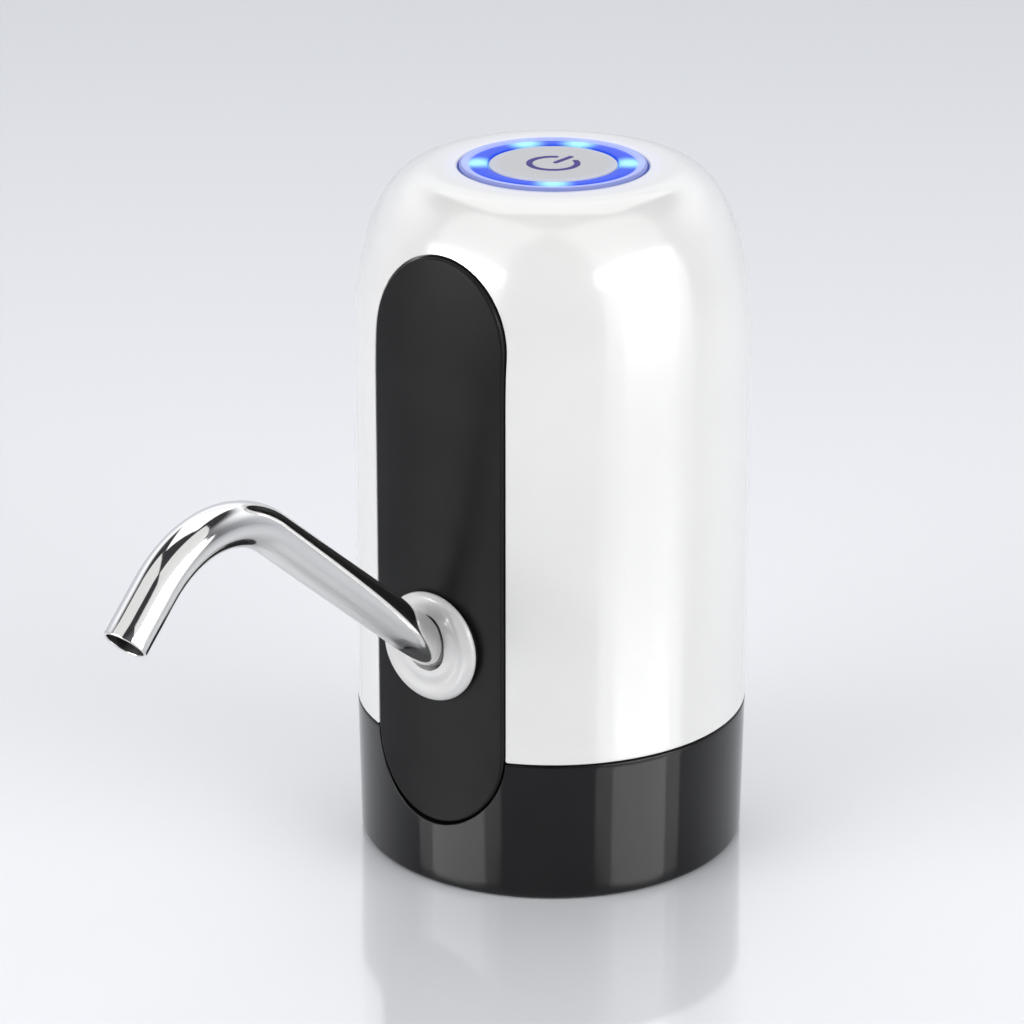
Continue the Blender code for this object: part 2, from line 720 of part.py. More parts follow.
def panel_face(across, up):
    """How far out the panel's face is: a shallow crown that leans back under the dome."""
    crown = PANEL_CROWN_RADIUS - sqrt(PANEL_CROWN_RADIUS**2 - across**2)
    rise = max(0, up - DOME_START) / DOME_RISE
    fall = (BODY_RADIUS - DOME_FLAT_RADIUS) * (1 - (1 - rise**DOME_POWER) ** (1 / DOME_POWER))
    return PANEL_FACE - crown - PANEL_LEAN_SHARE * fall


def crowned_plate(name, back, look, parent):
    """A capsule plate with a crowned face, a bevelled rim and a flat back."""
    shape = bmesh.new()
    face_rows = []
    for half, up in panel_rows(-PANEL_EDGE):
        shares = [2 * step / PANEL_COLUMNS - 1 for step in range(PANEL_COLUMNS + 1)] if half else [0]
        places = [(half * share, up) for share in shares]
        face_rows.append([shape.verts.new((x, y, panel_face(x, y))) for x, y in places])
    for upper, lower in zip(face_rows, face_rows[1:]):
        for step in range(PANEL_COLUMNS):
            corners = [
                upper[min(step, len(upper) - 1)], lower[min(step, len(lower) - 1)],
                lower[min(step + 1, len(lower) - 1)], upper[min(step + 1, len(upper) - 1)],
            ]
            shape.faces.new(list(dict.fromkeys(corners)))
    inner = [row[0] for row in face_rows] + [row[-1] for row in reversed(face_rows[1:-1])]
    rows = panel_rows(0)
    outline = [(-half, up) for half, up in rows] + [(half, up) for half, up in reversed(rows[1:-1])]
    outer = [shape.verts.new((x, y, panel_face(x, y) - PANEL_EDGE)) for x, y in outline]
    rear = [shape.verts.new((x, y, back)) for x, y in outline]
    for near, far in ((inner, outer), (outer, rear)):
        for step in range(len(outline)):
            after = (step + 1) % len(outline)
            shape.faces.new((near[step], near[after], far[after], far[step]))
    shape.faces.new(rear)
    bmesh.ops.recalc_face_normals(shape, faces=shape.faces)
    mesh = bpy.data.meshes.new(name)
    shape.to_mesh(mesh)
    shape.free()
    return add(name, mesh, look, parent)


def spout_route():
    """The spout's centreline as (across, up, outwards) from its stub to its tip."""
    points = [(0, 0, TUBE_INNER_END)]
    for step in range(FIRST_BEND_STEPS + 1):
        angle = SPOUT_RISE * step / FIRST_BEND_STEPS
        up = SPOUT_FIRST_BEND * (1 - cos(angle))
        points.append((0, up, SPOUT_BEND_START + SPOUT_FIRST_BEND * sin(angle)))
    _, up, out = points[-1]
    up += SPOUT_STRAIGHT * sin(SPOUT_RISE)
    out += SPOUT_STRAIGHT * cos(SPOUT_RISE)
    centre_up = up - SPOUT_SECOND_BEND * cos(SPOUT_RISE)
    centre_out = out + SPOUT_SECOND_BEND * sin(SPOUT_RISE)
    for step in range(SECOND_BEND_STEPS + 1):
        angle = SPOUT_RISE - (SPOUT_RISE + SPOUT_FALL) * step / SECOND_BEND_STEPS
        up = centre_up + SPOUT_SECOND_BEND * cos(angle)
        out = centre_out - SPOUT_SECOND_BEND * sin(angle)
        points.append((0, up, out))
    points.append((0, up - SPOUT_TIP * sin(SPOUT_FALL), out + SPOUT_TIP * cos(SPOUT_FALL)))
    return points


def case_screw_places():
    return around(CASE_SCREW_COUNT, CASE_SCREW_CIRCLE, pi / 4)


def make_panel_slot(front):
    """The cutter that lets the front panel into the shell, the base and the deck."""
    outline = capsule(GAP)
    return outline_solid("panel_slot", outline, PANEL_BACK, BODY_RADIUS + OVERRUN, None, front, cutter=True)


def make_shell(body, panel_slot):
    outline = [(RING_RADIUS + GAP, BODY_HEIGHT)]
    outline += dome_points(BODY_RADIUS, DOME_FLAT_RADIUS, DOME_START, BODY_HEIGHT)
    outline += [(BODY_RADIUS, SEAM_HEIGHT + SEAM_GAP / 2), (SHELL_BORE, SEAM_HEIGHT + SEAM_GAP / 2)]
    outline += reversed(dome_points(SHELL_BORE, DOME_FLAT_RADIUS, DOME_START, CEILING))
    outline += [(RING_RADIUS + GAP, CEILING)]
    shell = turned("shell", outline, white_plastic(), body, steps=STEPS_LARGE)
    boss_bottom = DECK_TOP + GAP
    holes = []
    for index, place in enumerate(case_screw_places()):
        boss = rod(
            f"shell_boss_{index + 1}", CASE_BOSS_RADIUS, boss_bottom, boss_bottom + SHELL_BOSS_LENGTH,
            None, body, place, STEPS_TINY, cutter=True,
        )
        join(shell, boss)
        hole = rod(
            f"shell_boss_hole_{index + 1}", CASE_SCREW_RADIUS + GAP, boss_bottom - OVERRUN,
            CASE_SCREW_SEAT + CASE_SCREW_LENGTH + GAP, None, body, place, STEPS_TINY, cutter=True,
        )
        holes.append(hole)
    post_bottom = BUTTON_BOARD_TOP + GAP
    for index, side in enumerate((1, -1)):
        place = (side * BUTTON_POST_PLACE, 0, 0)
        post = rod(
            f"ceiling_post_{index + 1}", BUTTON_POST_RADIUS, post_bottom, CEILING + JOIN,
            None, body, place, STEPS_TINY, cutter=True,
        )
        join(shell, post)
        hole = rod(
            f"ceiling_post_hole_{index + 1}", BOARD_SCREW_RADIUS + GAP, post_bottom - OVERRUN,
            BUTTON_BOARD_BOTTOM + BOARD_SCREW_LENGTH,
            None, body, place, STEPS_TINY, cutter=True,
        )
        holes.append(hole)
    usb_window = box(
        "usb_window", (USB_WIDTH + 2 * GAP, SHELL_WALL + 4 * OVERRUN, USB_HEIGHT + 2 * GAP),
        (0, BODY_RADIUS, usb_height()), None, body, cutter=True,
    )
    cut(shell, panel_slot, usb_window, *holes)
    return shell


def make_base_ring(body, panel_slot):
    foot = BODY_RADIUS - BASE_DRAFT
    top = SEAM_HEIGHT - SEAM_GAP / 2
    bore = BODY_RADIUS - BASE_WALL
    sleeve = NECK_BORE_RADIUS + NECK_WALL
    outline = [(BODY_RADIUS, top)]
    for step in range(BASE_FILLET_STEPS + 1):
        angle = pi / 2 * step / BASE_FILLET_STEPS
        outline.append(
            (foot - BASE_FILLET * (1 - cos(angle)), BASE_FILLET * (1 - sin(angle)))
        )
    outline += [
        (NECK_BORE_RADIUS + NECK_LEAD_IN, 0),
        (NECK_BORE_RADIUS, NECK_LEAD_IN),
        (NECK_BORE_RADIUS, RECESS_HEIGHT - GAP),
        (sleeve, RECESS_HEIGHT - GAP),
        (sleeve, BASE_FLOOR),
        (bore, BASE_FLOOR),
        (bore, top),
    ]
    base = turned("base_ring", outline, black_plastic(), body, steps=STEPS_LARGE)
    holes = []
    for index, place in enumerate(case_screw_places()):
        boss = rod(
            f"base_boss_{index + 1}", CASE_BOSS_RADIUS, BASE_FLOOR / 2, RECESS_HEIGHT - GAP - JOIN,
            None, body, place, STEPS_TINY, cutter=True,
        )
        join(base, boss)
        holes.append(rod(
            f"base_screw_well_{index + 1}", CASE_SCREW_HEAD_RADIUS + GAP, -OVERRUN, CASE_SCREW_SEAT,
            None, body, place, STEPS_SMALL, cutter=True,
        ))
        holes.append(rod(
            f"base_screw_hole_{index + 1}", CASE_SCREW_RADIUS + GAP, CASE_SCREW_SEAT - OVERRUN,
            RECESS_HEIGHT + OVERRUN, None, body, place, STEPS_TINY, cutter=True,
        ))
    cut(base, panel_slot, *holes)
    return base


def make_deck(body, panel_slot):
    """The inner deck, with posts for the main board and holes for screws and barb."""
    deck = rod(
        "chassis_plate", SHELL_BORE - GAP, RECESS_HEIGHT, DECK_TOP, inner_plastic(), body, steps=STEPS_LARGE
    )
    post_top = DECK_TOP + BOARD_POST_HEIGHT
    holes = [
        rod("barb_hole", BARB_NECK_RADIUS + GAP, RECESS_HEIGHT - OVERRUN, DECK_TOP + OVERRUN,
            None, body, cutter=True)
    ]
    for index, side in enumerate((1, -1)):
        place = (side * BOARD_POST_X, BOARD_POST_Y, 0)
        join(deck, rod(
            f"board_post_{index + 1}", BOARD_POST_RADIUS, DECK_TOP - JOIN, post_top,
            None, body, place, STEPS_TINY, cutter=True,
        ))
        holes.append(rod(
            f"board_post_hole_{index + 1}", BOARD_SCREW_RADIUS + GAP, DECK_TOP - JOIN, post_top + OVERRUN,
            None, body, place, STEPS_TINY, cutter=True,
        ))
    for index, place in enumerate(case_screw_places()):
        holes.append(rod(
            f"deck_screw_hole_{index + 1}", CASE_SCREW_RADIUS + GAP, RECESS_HEIGHT - OVERRUN,
            DECK_TOP + OVERRUN, None, body, place, STEPS_TINY, cutter=True,
        ))
    cut(deck, panel_slot, *holes)
    return deck


def make_neck_gasket(body):
    top = RECESS_HEIGHT - GAP
    return ring(
        "neck_gasket", NECK_BORE_RADIUS - GAP, GASKET_BORE_RADIUS, top - GASKET_THICKNESS, top,
        silicone(), body, steps=STEPS_LARGE,
    )


def make_inlet_barb(body):
    """The double-ended spigot that takes the intake hose below and the inner hose above."""
    neck_bottom = RECESS_HEIGHT - GAP
    flange_bottom = neck_bottom - BARB_FLANGE_THICKNESS
    neck_top = DECK_TOP + GAP
    top = neck_top + BARB_NIPPLE_LENGTH
    outline = [
        (NIPPLE_RADIUS, top),
        (NIPPLE_RADIUS, neck_top),
        (BARB_NECK_RADIUS, neck_top),
        (BARB_NECK_RADIUS, neck_bottom),
        (BARB_FLANGE_RADIUS, neck_bottom),
        (BARB_FLANGE_RADIUS, flange_bottom),
        (BARB_RADIUS, flange_bottom),
    ]
    for ridge in reversed(range(BARB_RIDGES)):
        low = BARB_BOTTOM + ridge * BARB_RIDGE_PITCH
        outline += [
            (BARB_RADIUS, low + BARB_RIDGE_PITCH * BARB_CREST_SHARE),
            (BARB_RIDGE_RADIUS, low + BARB_RIDGE_PITCH * BARB_CREST_SHARE),
            (BARB_RADIUS, low),
        ]
    outline += [(NIPPLE_BORE_RADIUS, BARB_BOTTOM), (NIPPLE_BORE_RADIUS, top)]
    return turned("inlet_barb", outline, inner_plastic(), body, steps=STEPS_SMALL)


def make_case_screws(body):
    for index, place in enumerate(case_screw_places()):
        head_top = CASE_SCREW_SEAT - GAP
        outline = [
            (0, CASE_SCREW_SEAT + CASE_SCREW_LENGTH),
            (CASE_SCREW_RADIUS, CASE_SCREW_SEAT + CASE_SCREW_LENGTH - CASE_SCREW_RADIUS),
            (CASE_SCREW_RADIUS, head_top),
            (CASE_SCREW_HEAD_RADIUS, head_top),
            (CASE_SCREW_HEAD_RADIUS, head_top - CASE_SCREW_HEAD_HEIGHT),
            (0, head_top - CASE_SCREW_HEAD_HEIGHT),
        ]
        turned(f"case_screw_{index + 1}", outline, plated_steel(), body, place, STEPS_TINY)


def make_front_panel(front, spout_axis):
    """The capsule plate, hollowed from behind, with the collar's land and hole on its face."""
    back = PANEL_FACE - PANEL_THICKNESS
    panel = crowned_plate("front_panel", back, panel_plastic(), front)
    land = rod(
        "collar_land", COLLAR_FLANGE_RADIUS - COLLAR_LAND_INSET, PANEL_FACE - PANEL_FACE_WALL + JOIN,
        PANEL_FACE, None, spout_axis, steps=STEPS_MEDIUM, cutter=True,
    )
    join(panel, land)
    pocket = outline_solid(
        "panel_pocket", capsule(-PANEL_SIDE_WALL), back - OVERRUN, PANEL_FACE - PANEL_FACE_WALL,
        None, front, cutter=True,
    )
    hole = rod(
        "collar_hole", COLLAR_NECK_RADIUS + GAP, back - OVERRUN, PANEL_FACE + OVERRUN,
        None, spout_axis, steps=STEPS_MEDIUM, cutter=True,
    )
    cut(panel, pocket, hole)
    return panel


def make_spout_collar(spout_axis):
    """The boss round the tube: its bore turns upwards with the tube and opens as an oval mouth."""
    face = PANEL_FACE + GAP
    front = PANEL_FACE + COLLAR_FRONT_HEIGHT
    bore = TUBE_RADIUS + GAP
    clip_top = PANEL_FACE - PANEL_FACE_WALL - GAP
    clip_bottom = clip_top - COLLAR_CLIP_THICKNESS
    rim = COLLAR_FLANGE_RADIUS - COLLAR_RIDGE_RADIUS
    rise = COLLAR_RIDGE_HEIGHT - COLLAR_FLANGE_HEIGHT
    outline = [(bore, front), (COLLAR_RIDGE_RADIUS, PANEL_FACE + COLLAR_RIDGE_HEIGHT)]
    for step in range(1, COLLAR_ARC_STEPS + 1):
        angle = pi / 2 * (1 - step / COLLAR_ARC_STEPS)
        outline.append((
            COLLAR_RIDGE_RADIUS + rim * cos(angle),
            PANEL_FACE + COLLAR_FLANGE_HEIGHT + rise * sin(angle),
        ))
    outline += [
        (COLLAR_FLANGE_RADIUS, face),
        (COLLAR_NECK_RADIUS, face),
        (COLLAR_NECK_RADIUS, clip_top),
        (COLLAR_CLIP_RADIUS, clip_top),
        (COLLAR_NECK_RADIUS, clip_bottom),
        (bore, clip_bottom),
    ]
    collar = turned("spout_collar", outline, white_plastic(), spout_axis)
    rise_axis = empty("spout_rise_axis", (0, 0, SPOUT_CORNER), spout_axis, (-SPOUT_RISE, 0, 0))
    way_out = rod(
        "collar_way_out", bore, 0, COLLAR_FLANGE_RADIUS, None, rise_axis, steps=STEPS_MEDIUM, cutter=True
    )
    cut(collar, way_out)
    return collar


def make_outlet_socket(body, spout_axis):
    """The fitting behind the panel that the spout's stub plugs into."""
    front = PANEL_BACK
    bore = TUBE_RADIUS + GAP
    groove_radius = bore + 2 * O_RING_SECTION + O_RING_SLACK
    groove_half = O_RING_SECTION + O_RING_SLACK
    back = SOCKET_BACK + SOCKET_BACK_WALL
    outline = [
        (0, back),
        (bore, back),
        (bore, O_RING_PLACE - groove_half),
        (groove_radius, O_RING_PLACE - groove_half),
        (groove_radius, O_RING_PLACE + groove_half),
        (bore, O_RING_PLACE + groove_half),
        (bore, front),
        (SOCKET_FLANGE_RADIUS, front),
        (SOCKET_FLANGE_RADIUS, front - SOCKET_FLANGE_THICKNESS),
        (SOCKET_RADIUS, front - SOCKET_FLANGE_THICKNESS),
        (SOCKET_RADIUS, SOCKET_BACK),
        (0, SOCKET_BACK),
    ]
    socket = turned("outlet_socket", outline, inner_plastic(), spout_axis, steps=STEPS_FITTING)
    place = (0, -SOCKET_NIPPLE_PLACE, 0)
    nipple = rod(
        "socket_nipple", NIPPLE_RADIUS, SOCKET_NIPPLE_BOTTOM, SOCKET_UNDERSIDE + SOCKET_BACK_WALL,
        None, body, place, cutter=True,
    )
    passage = rod(
        "socket_passage", NIPPLE_BORE_RADIUS, SOCKET_NIPPLE_BOTTOM - OVERRUN, SPOUT_HEIGHT,
        None, body, place, cutter=True,
    )
    join(socket, nipple)
    cut(socket, passage)
    return socket


def make_spout_o_ring(spout_axis):
    """A round-section ring in the socket's groove, just clear of the tube."""
    centre = TUBE_RADIUS + O_RING_SLACK + O_RING_SECTION
    outline = []
    for step in range(O_RING_STEPS):
        angle = pi / 2 - 2 * pi * step / O_RING_STEPS
        outline.append((
            centre + O_RING_SECTION * cos(angle), O_RING_PLACE + O_RING_SECTION * sin(angle)
        ))
    return turned("spout_o_ring", outline, black_rubber(), spout_axis)


def usb_height():
    """Height of the charging socket's middle."""
    return BOARD_TOP + GAP + USB_HEIGHT / 2


def pump_screw_places():
    place = PUMP_HALF_SIDE - PUMP_SCREW_INSET
    return [(x * place, y * place, 0) for x, y in ((1, 1), (-1, 1), (-1, -1), (1, -1))]


def pump_screw_holes(name, low, high, pump_axis):
    """Four cutters for the long screws that clamp the pump head."""
    return [
        rod(f"{name}_hole_{index + 1}", PUMP_SCREW_RADIUS + GAP, low, high, None, pump_axis, place,
            STEPS_TINY, cutter=True)
        for index, place in enumerate(pump_screw_places())
    ]


def pump_plate(name, bottom, thickness, look, pump_axis):
    """A square plate of the pump head with rounded corners."""
    side = 2 * PUMP_HALF_SIDE
    return box(
        name, (side, side, thickness), (0, 0, bottom + thickness / 2), look, pump_axis, corner=PUMP_CORNER
    )


def cup_places():
    return around(CUP_COUNT, CUP_CIRCLE, pi)


def make_pump_cover(pump_axis):
    """The bottom plate with the suction nozzle, the discharge nozzle and their chambers."""
    top = PUMP_BOTTOM + COVER_THICKNESS
    tip = PUMP_BOTTOM - NOZZLE_LENGTH
    cover = pump_plate("pump_cover", PUMP_BOTTOM, COVER_THICKNESS, dark_plastic(), pump_axis)
    tools = [
        rod("valve_pocket", COVER_POCKET_RADIUS, top - COVER_POCKET_DEPTH, top + OVERRUN,
            None, pump_axis, cutter=True),
        ring("suction_groove", CUP_CIRCLE + GROOVE_WIDTH / 2, CUP_CIRCLE - GROOVE_WIDTH / 2,
             top - GROOVE_DEPTH, top + OVERRUN, None, pump_axis, steps=STEPS_FITTING, cutter=True),
    ]
    spots = (("suction", (-PUMP_X, 0, 0)), ("discharge", (DISCHARGE_X, DISCHARGE_Y, 0)))
    for name, place in spots:
        join(cover, rod(f"{name}_nozzle", NIPPLE_RADIUS, tip, PUMP_BOTTOM + JOIN,
                        None, pump_axis, place, cutter=True))
        tools.append(rod(f"{name}_bore", NIPPLE_BORE_RADIUS, tip - OVERRUN, top - GROOVE_DEPTH / 2,
                         None, pump_axis, place, cutter=True))
    tools += pump_screw_holes("cover", PUMP_BOTTOM - OVERRUN, top + OVERRUN, pump_axis)
    cut(cover, *tools)


def make_valves(pump_axis):
    bottom = PUMP_BOTTOM + COVER_THICKNESS + GAP
    top = bottom + VALVE_PLATE_THICKNESS
    plate = pump_plate("valve_plate", bottom, VALVE_PLATE_THICKNESS, inner_plastic(), pump_axis)
    low = bottom - OVERRUN
    high = top + OVERRUN
    stem_hole = VALVE_STEM_RADIUS + GAP
    tools = [rod("stem_hole", stem_hole, low, high, None, pump_axis, steps=STEPS_TINY, cutter=True)]
    for index, place in enumerate(cup_places()):
        tools.append(rod(f"inlet_port_{index + 1}", PORT_RADIUS, low, high, None, pump_axis, place,
                         STEPS_TINY, cutter=True))
    for index, place in enumerate(around(CUP_COUNT, OUTLET_PORT_CIRCLE)):
        tools.append(rod(f"outlet_port_{index + 1}", OUTLET_PORT_RADIUS, low, high, None, pump_axis, place,
                         STEPS_TINY, cutter=True))
    tools += pump_screw_holes("valve_plate", low, high, pump_axis)
    cut(plate, *tools)
    cap_top = bottom - GAP
    outline = [
        (0, top),
        (VALVE_STEM_RADIUS, top),
        (VALVE_STEM_RADIUS, cap_top),
        (VALVE_CAP_RADIUS, cap_top),
        (VALVE_CAP_RADIUS, cap_top - VALVE_CAP_THICKNESS / 2),
        (VALVE_STEM_RADIUS, cap_top - VALVE_CAP_THICKNESS),
        (0, cap_top - VALVE_CAP_THICKNESS),
    ]
    turned("discharge_valve", outline, black_rubber(), pump_axis, steps=STEPS_SMALL)


def make_diaphragm(pump_axis):
    """A rubber sheet with three cups that open downwards and a stem on each."""
    top = DIAPHRAGM_BOTTOM + DIAPHRAGM_THICKNESS
    cup_top = top + CUP_HEIGHT
    sheet = pump_plate("diaphragm", DIAPHRAGM_BOTTOM, DIAPHRAGM_THICKNESS, black_rubber(), pump_axis)
    frame = pump_plate("cup_frame", top + GAP, FRAME_THICKNESS, inner_plastic(), pump_axis)
    hollows = []
    openings = []
    for index, place in enumerate(cup_places()):
        outline = [
            (0, cup_top + CUP_STEM_HEIGHT),
            (CUP_STEM_RADIUS, cup_top + CUP_STEM_HEIGHT),
            (CUP_STEM_RADIUS, cup_top),
            (CUP_RADIUS, cup_top),
            (CUP_RADIUS, top - DIAPHRAGM_THICKNESS / 2),
            (0, top - DIAPHRAGM_THICKNESS / 2),
        ]
        join(sheet, turned(f"cup_{index + 1}", outline, None, pump_axis, place, STEPS_SMALL, cutter=True))
        hollows.append(rod(f"cup_hollow_{index + 1}", CUP_RADIUS - CUP_WALL, DIAPHRAGM_BOTTOM - OVERRUN,
                           cup_top - CUP_WALL, None, pump_axis, place, cutter=True))
        openings.append(rod(f"cup_opening_{index + 1}", CUP_RADIUS + GAP, top - OVERRUN,
                            cup_top + OVERRUN, None, pump_axis, place, cutter=True))
    cut(sheet, *hollows, *pump_screw_holes("diaphragm", DIAPHRAGM_BOTTOM - OVERRUN, top + OVERRUN, pump_axis))
    cut(frame, *openings, *pump_screw_holes("cup_frame", top - OVERRUN, PUMP_HEAD_TOP + OVERRUN, pump_axis))


def make_pump_housing(pump_axis):
    """The square housing round the wobble drive, open below and closed under the motor."""
    top = HOUSING_BOTTOM + HOUSING_HEIGHT
    housing = pump_plate("pump_housing", HOUSING_BOTTOM, HOUSING_HEIGHT, dark_plastic(), pump_axis)
    cavity = rod("housing_cavity", HOUSING_CAVITY_RADIUS, HOUSING_BOTTOM - OVERRUN, top - HOUSING_TOP_WALL,
                 None, pump_axis, steps=STEPS_MEDIUM, cutter=True)
    shaft_hole = rod("housing_shaft_hole", HOUSING_SHAFT_HOLE, top - HOUSING_TOP_WALL - OVERRUN,
                     top + OVERRUN, None, pump_axis, cutter=True)
    screw_end = PUMP_BOTTOM - GAP + PUMP_SCREW_LENGTH + GAP
    holes = pump_screw_holes("housing", HOUSING_BOTTOM - OVERRUN, screw_end, pump_axis)
    cut(housing, cavity, shaft_hole, *holes)


def make_pump_screws(pump_axis):
    head_top = PUMP_BOTTOM - GAP
    outline = [
        (0, head_top + PUMP_SCREW_LENGTH),
        (PUMP_SCREW_RADIUS, head_top + PUMP_SCREW_LENGTH),
        (PUMP_SCREW_RADIUS, head_top),
        (PUMP_SCREW_HEAD_RADIUS, head_top),
        (PUMP_SCREW_HEAD_RADIUS, head_top - PUMP_SCREW_HEAD_HEIGHT),
        (0, head_top - PUMP_SCREW_HEAD_HEIGHT),
    ]
    for index, place in enumerate(pump_screw_places()):
        turned(f"pump_screw_{index + 1}", outline, plated_steel(), pump_axis, place, STEPS_TINY)


def make_wobble_drive(motor_axis):
    """The tilted plate that works the cups, its steel pin and the eccentric wheel."""
    pivot = PUMP_HEAD_TOP + WOBBLE_PIVOT
    wobble_axis = empty("wobble_axis", (0, 0, pivot), motor_axis, (0, WOBBLE_TILT, 0))
    half = WOBBLE_THICKNESS / 2
    pin_hole = PIN_RADIUS + GAP
    outline = [
        (0, PIN_BOTTOM - GAP),
        (pin_hole, PIN_BOTTOM - GAP),
        (pin_hole, WOBBLE_HUB_HEIGHT),
        (WOBBLE_HUB_RADIUS, WOBBLE_HUB_HEIGHT),
        (WOBBLE_HUB_RADIUS, half),
        (WOBBLE_RADIUS, half),
        (WOBBLE_RADIUS, -half),
        (0, -half),
    ]
    turned("wobble_plate", outline, inner_plastic(), wobble_axis)
    rod("eccentric_pin", PIN_RADIUS, PIN_BOTTOM, PIN_TOP, plated_steel(), wobble_axis, steps=STEPS_TINY)
    bottom = PUMP_HEAD_TOP + WHEEL_BOTTOM
    top = bottom + WHEEL_HEIGHT
    shaft_hole = SHAFT_RADIUS + GAP
    outline = [
        (0, top - WHEEL_SHAFT_DEPTH),
        (shaft_hole, top - WHEEL_SHAFT_DEPTH),
        (shaft_hole, top),
        (WHEEL_RADIUS, top),
        (WHEEL_RADIUS, bottom),
        (0, bottom),
    ]
    wheel = turned("eccentric_wheel", outline, dark_plastic(), motor_axis, steps=STEPS_FITTING)
    hole = rod("wheel_pin_hole", pin_hole, 0, PIN_TOP + GAP, None, wobble_axis, steps=STEPS_TINY, cutter=True)
    cut(wheel, hole)


def make_motor(pump_axis, motor_axis):
    top = MOTOR_BOTTOM + MOTOR_LENGTH
    shaft_hole = SHAFT_RADIUS + GAP
    outline = [
        (MOTOR_RADIUS, top),
        (MOTOR_RADIUS, MOTOR_BOTTOM),
        (shaft_hole, MOTOR_BOTTOM),
        (shaft_hole, MOTOR_BOTTOM + MOTOR_WALL),
        (MOTOR_RADIUS - MOTOR_WALL, MOTOR_BOTTOM + MOTOR_WALL),
        (MOTOR_RADIUS - MOTOR_WALL, top),
    ]
    turned("motor_can", outline, plated_steel(), pump_axis)
    cap_bottom = top + GAP
    cap_top = cap_bottom + END_CAP_THICKNESS
    cap = ring("motor_end_cap", END_CAP_RADIUS, shaft_hole, cap_bottom, cap_top, dark_plastic(), pump_axis,
               steps=STEPS_FITTING)
    for index, side in enumerate((1, -1)):
        size = (TERMINAL_WIDTH, TERMINAL_THICKNESS, TERMINAL_HEIGHT + JOIN)
        centre = (side * TERMINAL_PLACE, 0, cap_top + (TERMINAL_HEIGHT - JOIN) / 2)
        join(cap, box(f"terminal_{index + 1}", size, centre, None, pump_axis, cutter=True))
    wheel_top = PUMP_HEAD_TOP + WHEEL_BOTTOM + WHEEL_HEIGHT
    rod("motor_shaft", SHAFT_RADIUS, wheel_top - WHEEL_SHAFT_DEPTH + GAP, cap_top, plated_steel(), motor_axis)
    low = MOTOR_BOTTOM + ARMATURE_RISE_SHARE * MOTOR_LENGTH
    ring("armature", ARMATURE_RADIUS, shaft_hole, low, low + ARMATURE_LENGTH_SHARE * MOTOR_LENGTH,
         finish("copper", (0.72, 0.35, 0.18), 0.35, 1.0), motor_axis, steps=STEPS_FITTING)


def make_hoses(body):
    """The straight suction hose and the U-bent outlet hose."""
    inner = NIPPLE_RADIUS + GAP
    outer = inner + HOSE_WALL
    top = PUMP_BOTTOM - GAP
    ring("inlet_hose", outer, inner, DECK_TOP + 2 * GAP, top, silicone(), body, steps=STEPS_SMALL)
    start = Vector((PUMP_X + DISCHARGE_X, DISCHARGE_Y, PUMP_BOTTOM - NOZZLE_LENGTH))
    end = Vector((0, -SOCKET_NIPPLE_PLACE, SOCKET_NIPPLE_BOTTOM))
    dip = OUTLET_HOSE_DIP_SHARE * (min(start.z, end.z) - DECK_TOP - outer)
    route = [Vector((start.x, start.y, top))]
    for step in range(OUTLET_HOSE_STEPS + 1):
        angle = pi * step / OUTLET_HOSE_STEPS
        share = (1 - cos(angle)) / 2
        route.append(start.lerp(end, share) - Vector((0, 0, dip * sin(angle))))
    route.append(Vector((end.x, end.y, SOCKET_UNDERSIDE - GAP)))
    pipe("outlet_hose", route, outer, HOSE_WALL, silicone(), body, HOSE_BEVEL_STEPS)


def make_battery(body):
    cell_axis = empty("battery_axis", (BATTERY_X, 0, 0), body)
    floor_bottom = DECK_TOP + GAP
    floor_top = floor_bottom + CRADLE_WALL
    cradle_top = floor_bottom + CRADLE_HEIGHT
    inner = BATTERY_RADIUS + GAP
    outer = CRADLE_RADIUS
    outline = [
        (0, floor_top),
        (inner, floor_top),
        (inner, cradle_top),
        (outer, cradle_top),
        (outer, floor_bottom),
        (0, floor_bottom),
    ]
    cradle = turned("battery_cradle", outline, inner_plastic(), cell_axis)
    width = outer - CRADLE_OPENING + OVERRUN
    height = CRADLE_HEIGHT + OVERRUN
    centre = (CRADLE_OPENING + width / 2, 0, floor_top + CRADLE_LIP + height / 2)
    size = (width, 2 * outer + OVERRUN, height)
    cut(cradle, box("cradle_opening", size, centre, None, cell_axis, cutter=True))
    low = floor_top + GAP
    high = low + BATTERY_LENGTH
    edge = BATTERY_EDGE
    outline = [
        (0, high),
        (BATTERY_RADIUS - edge, high),
        (BATTERY_RADIUS, high - edge),
        (BATTERY_RADIUS, low + edge),
        (BATTERY_RADIUS - edge, low),
        (0, low),
    ]
    turned("battery_cell", outline, finish("battery_wrap", (0.05, 0.2, 0.5), 0.35), cell_axis)


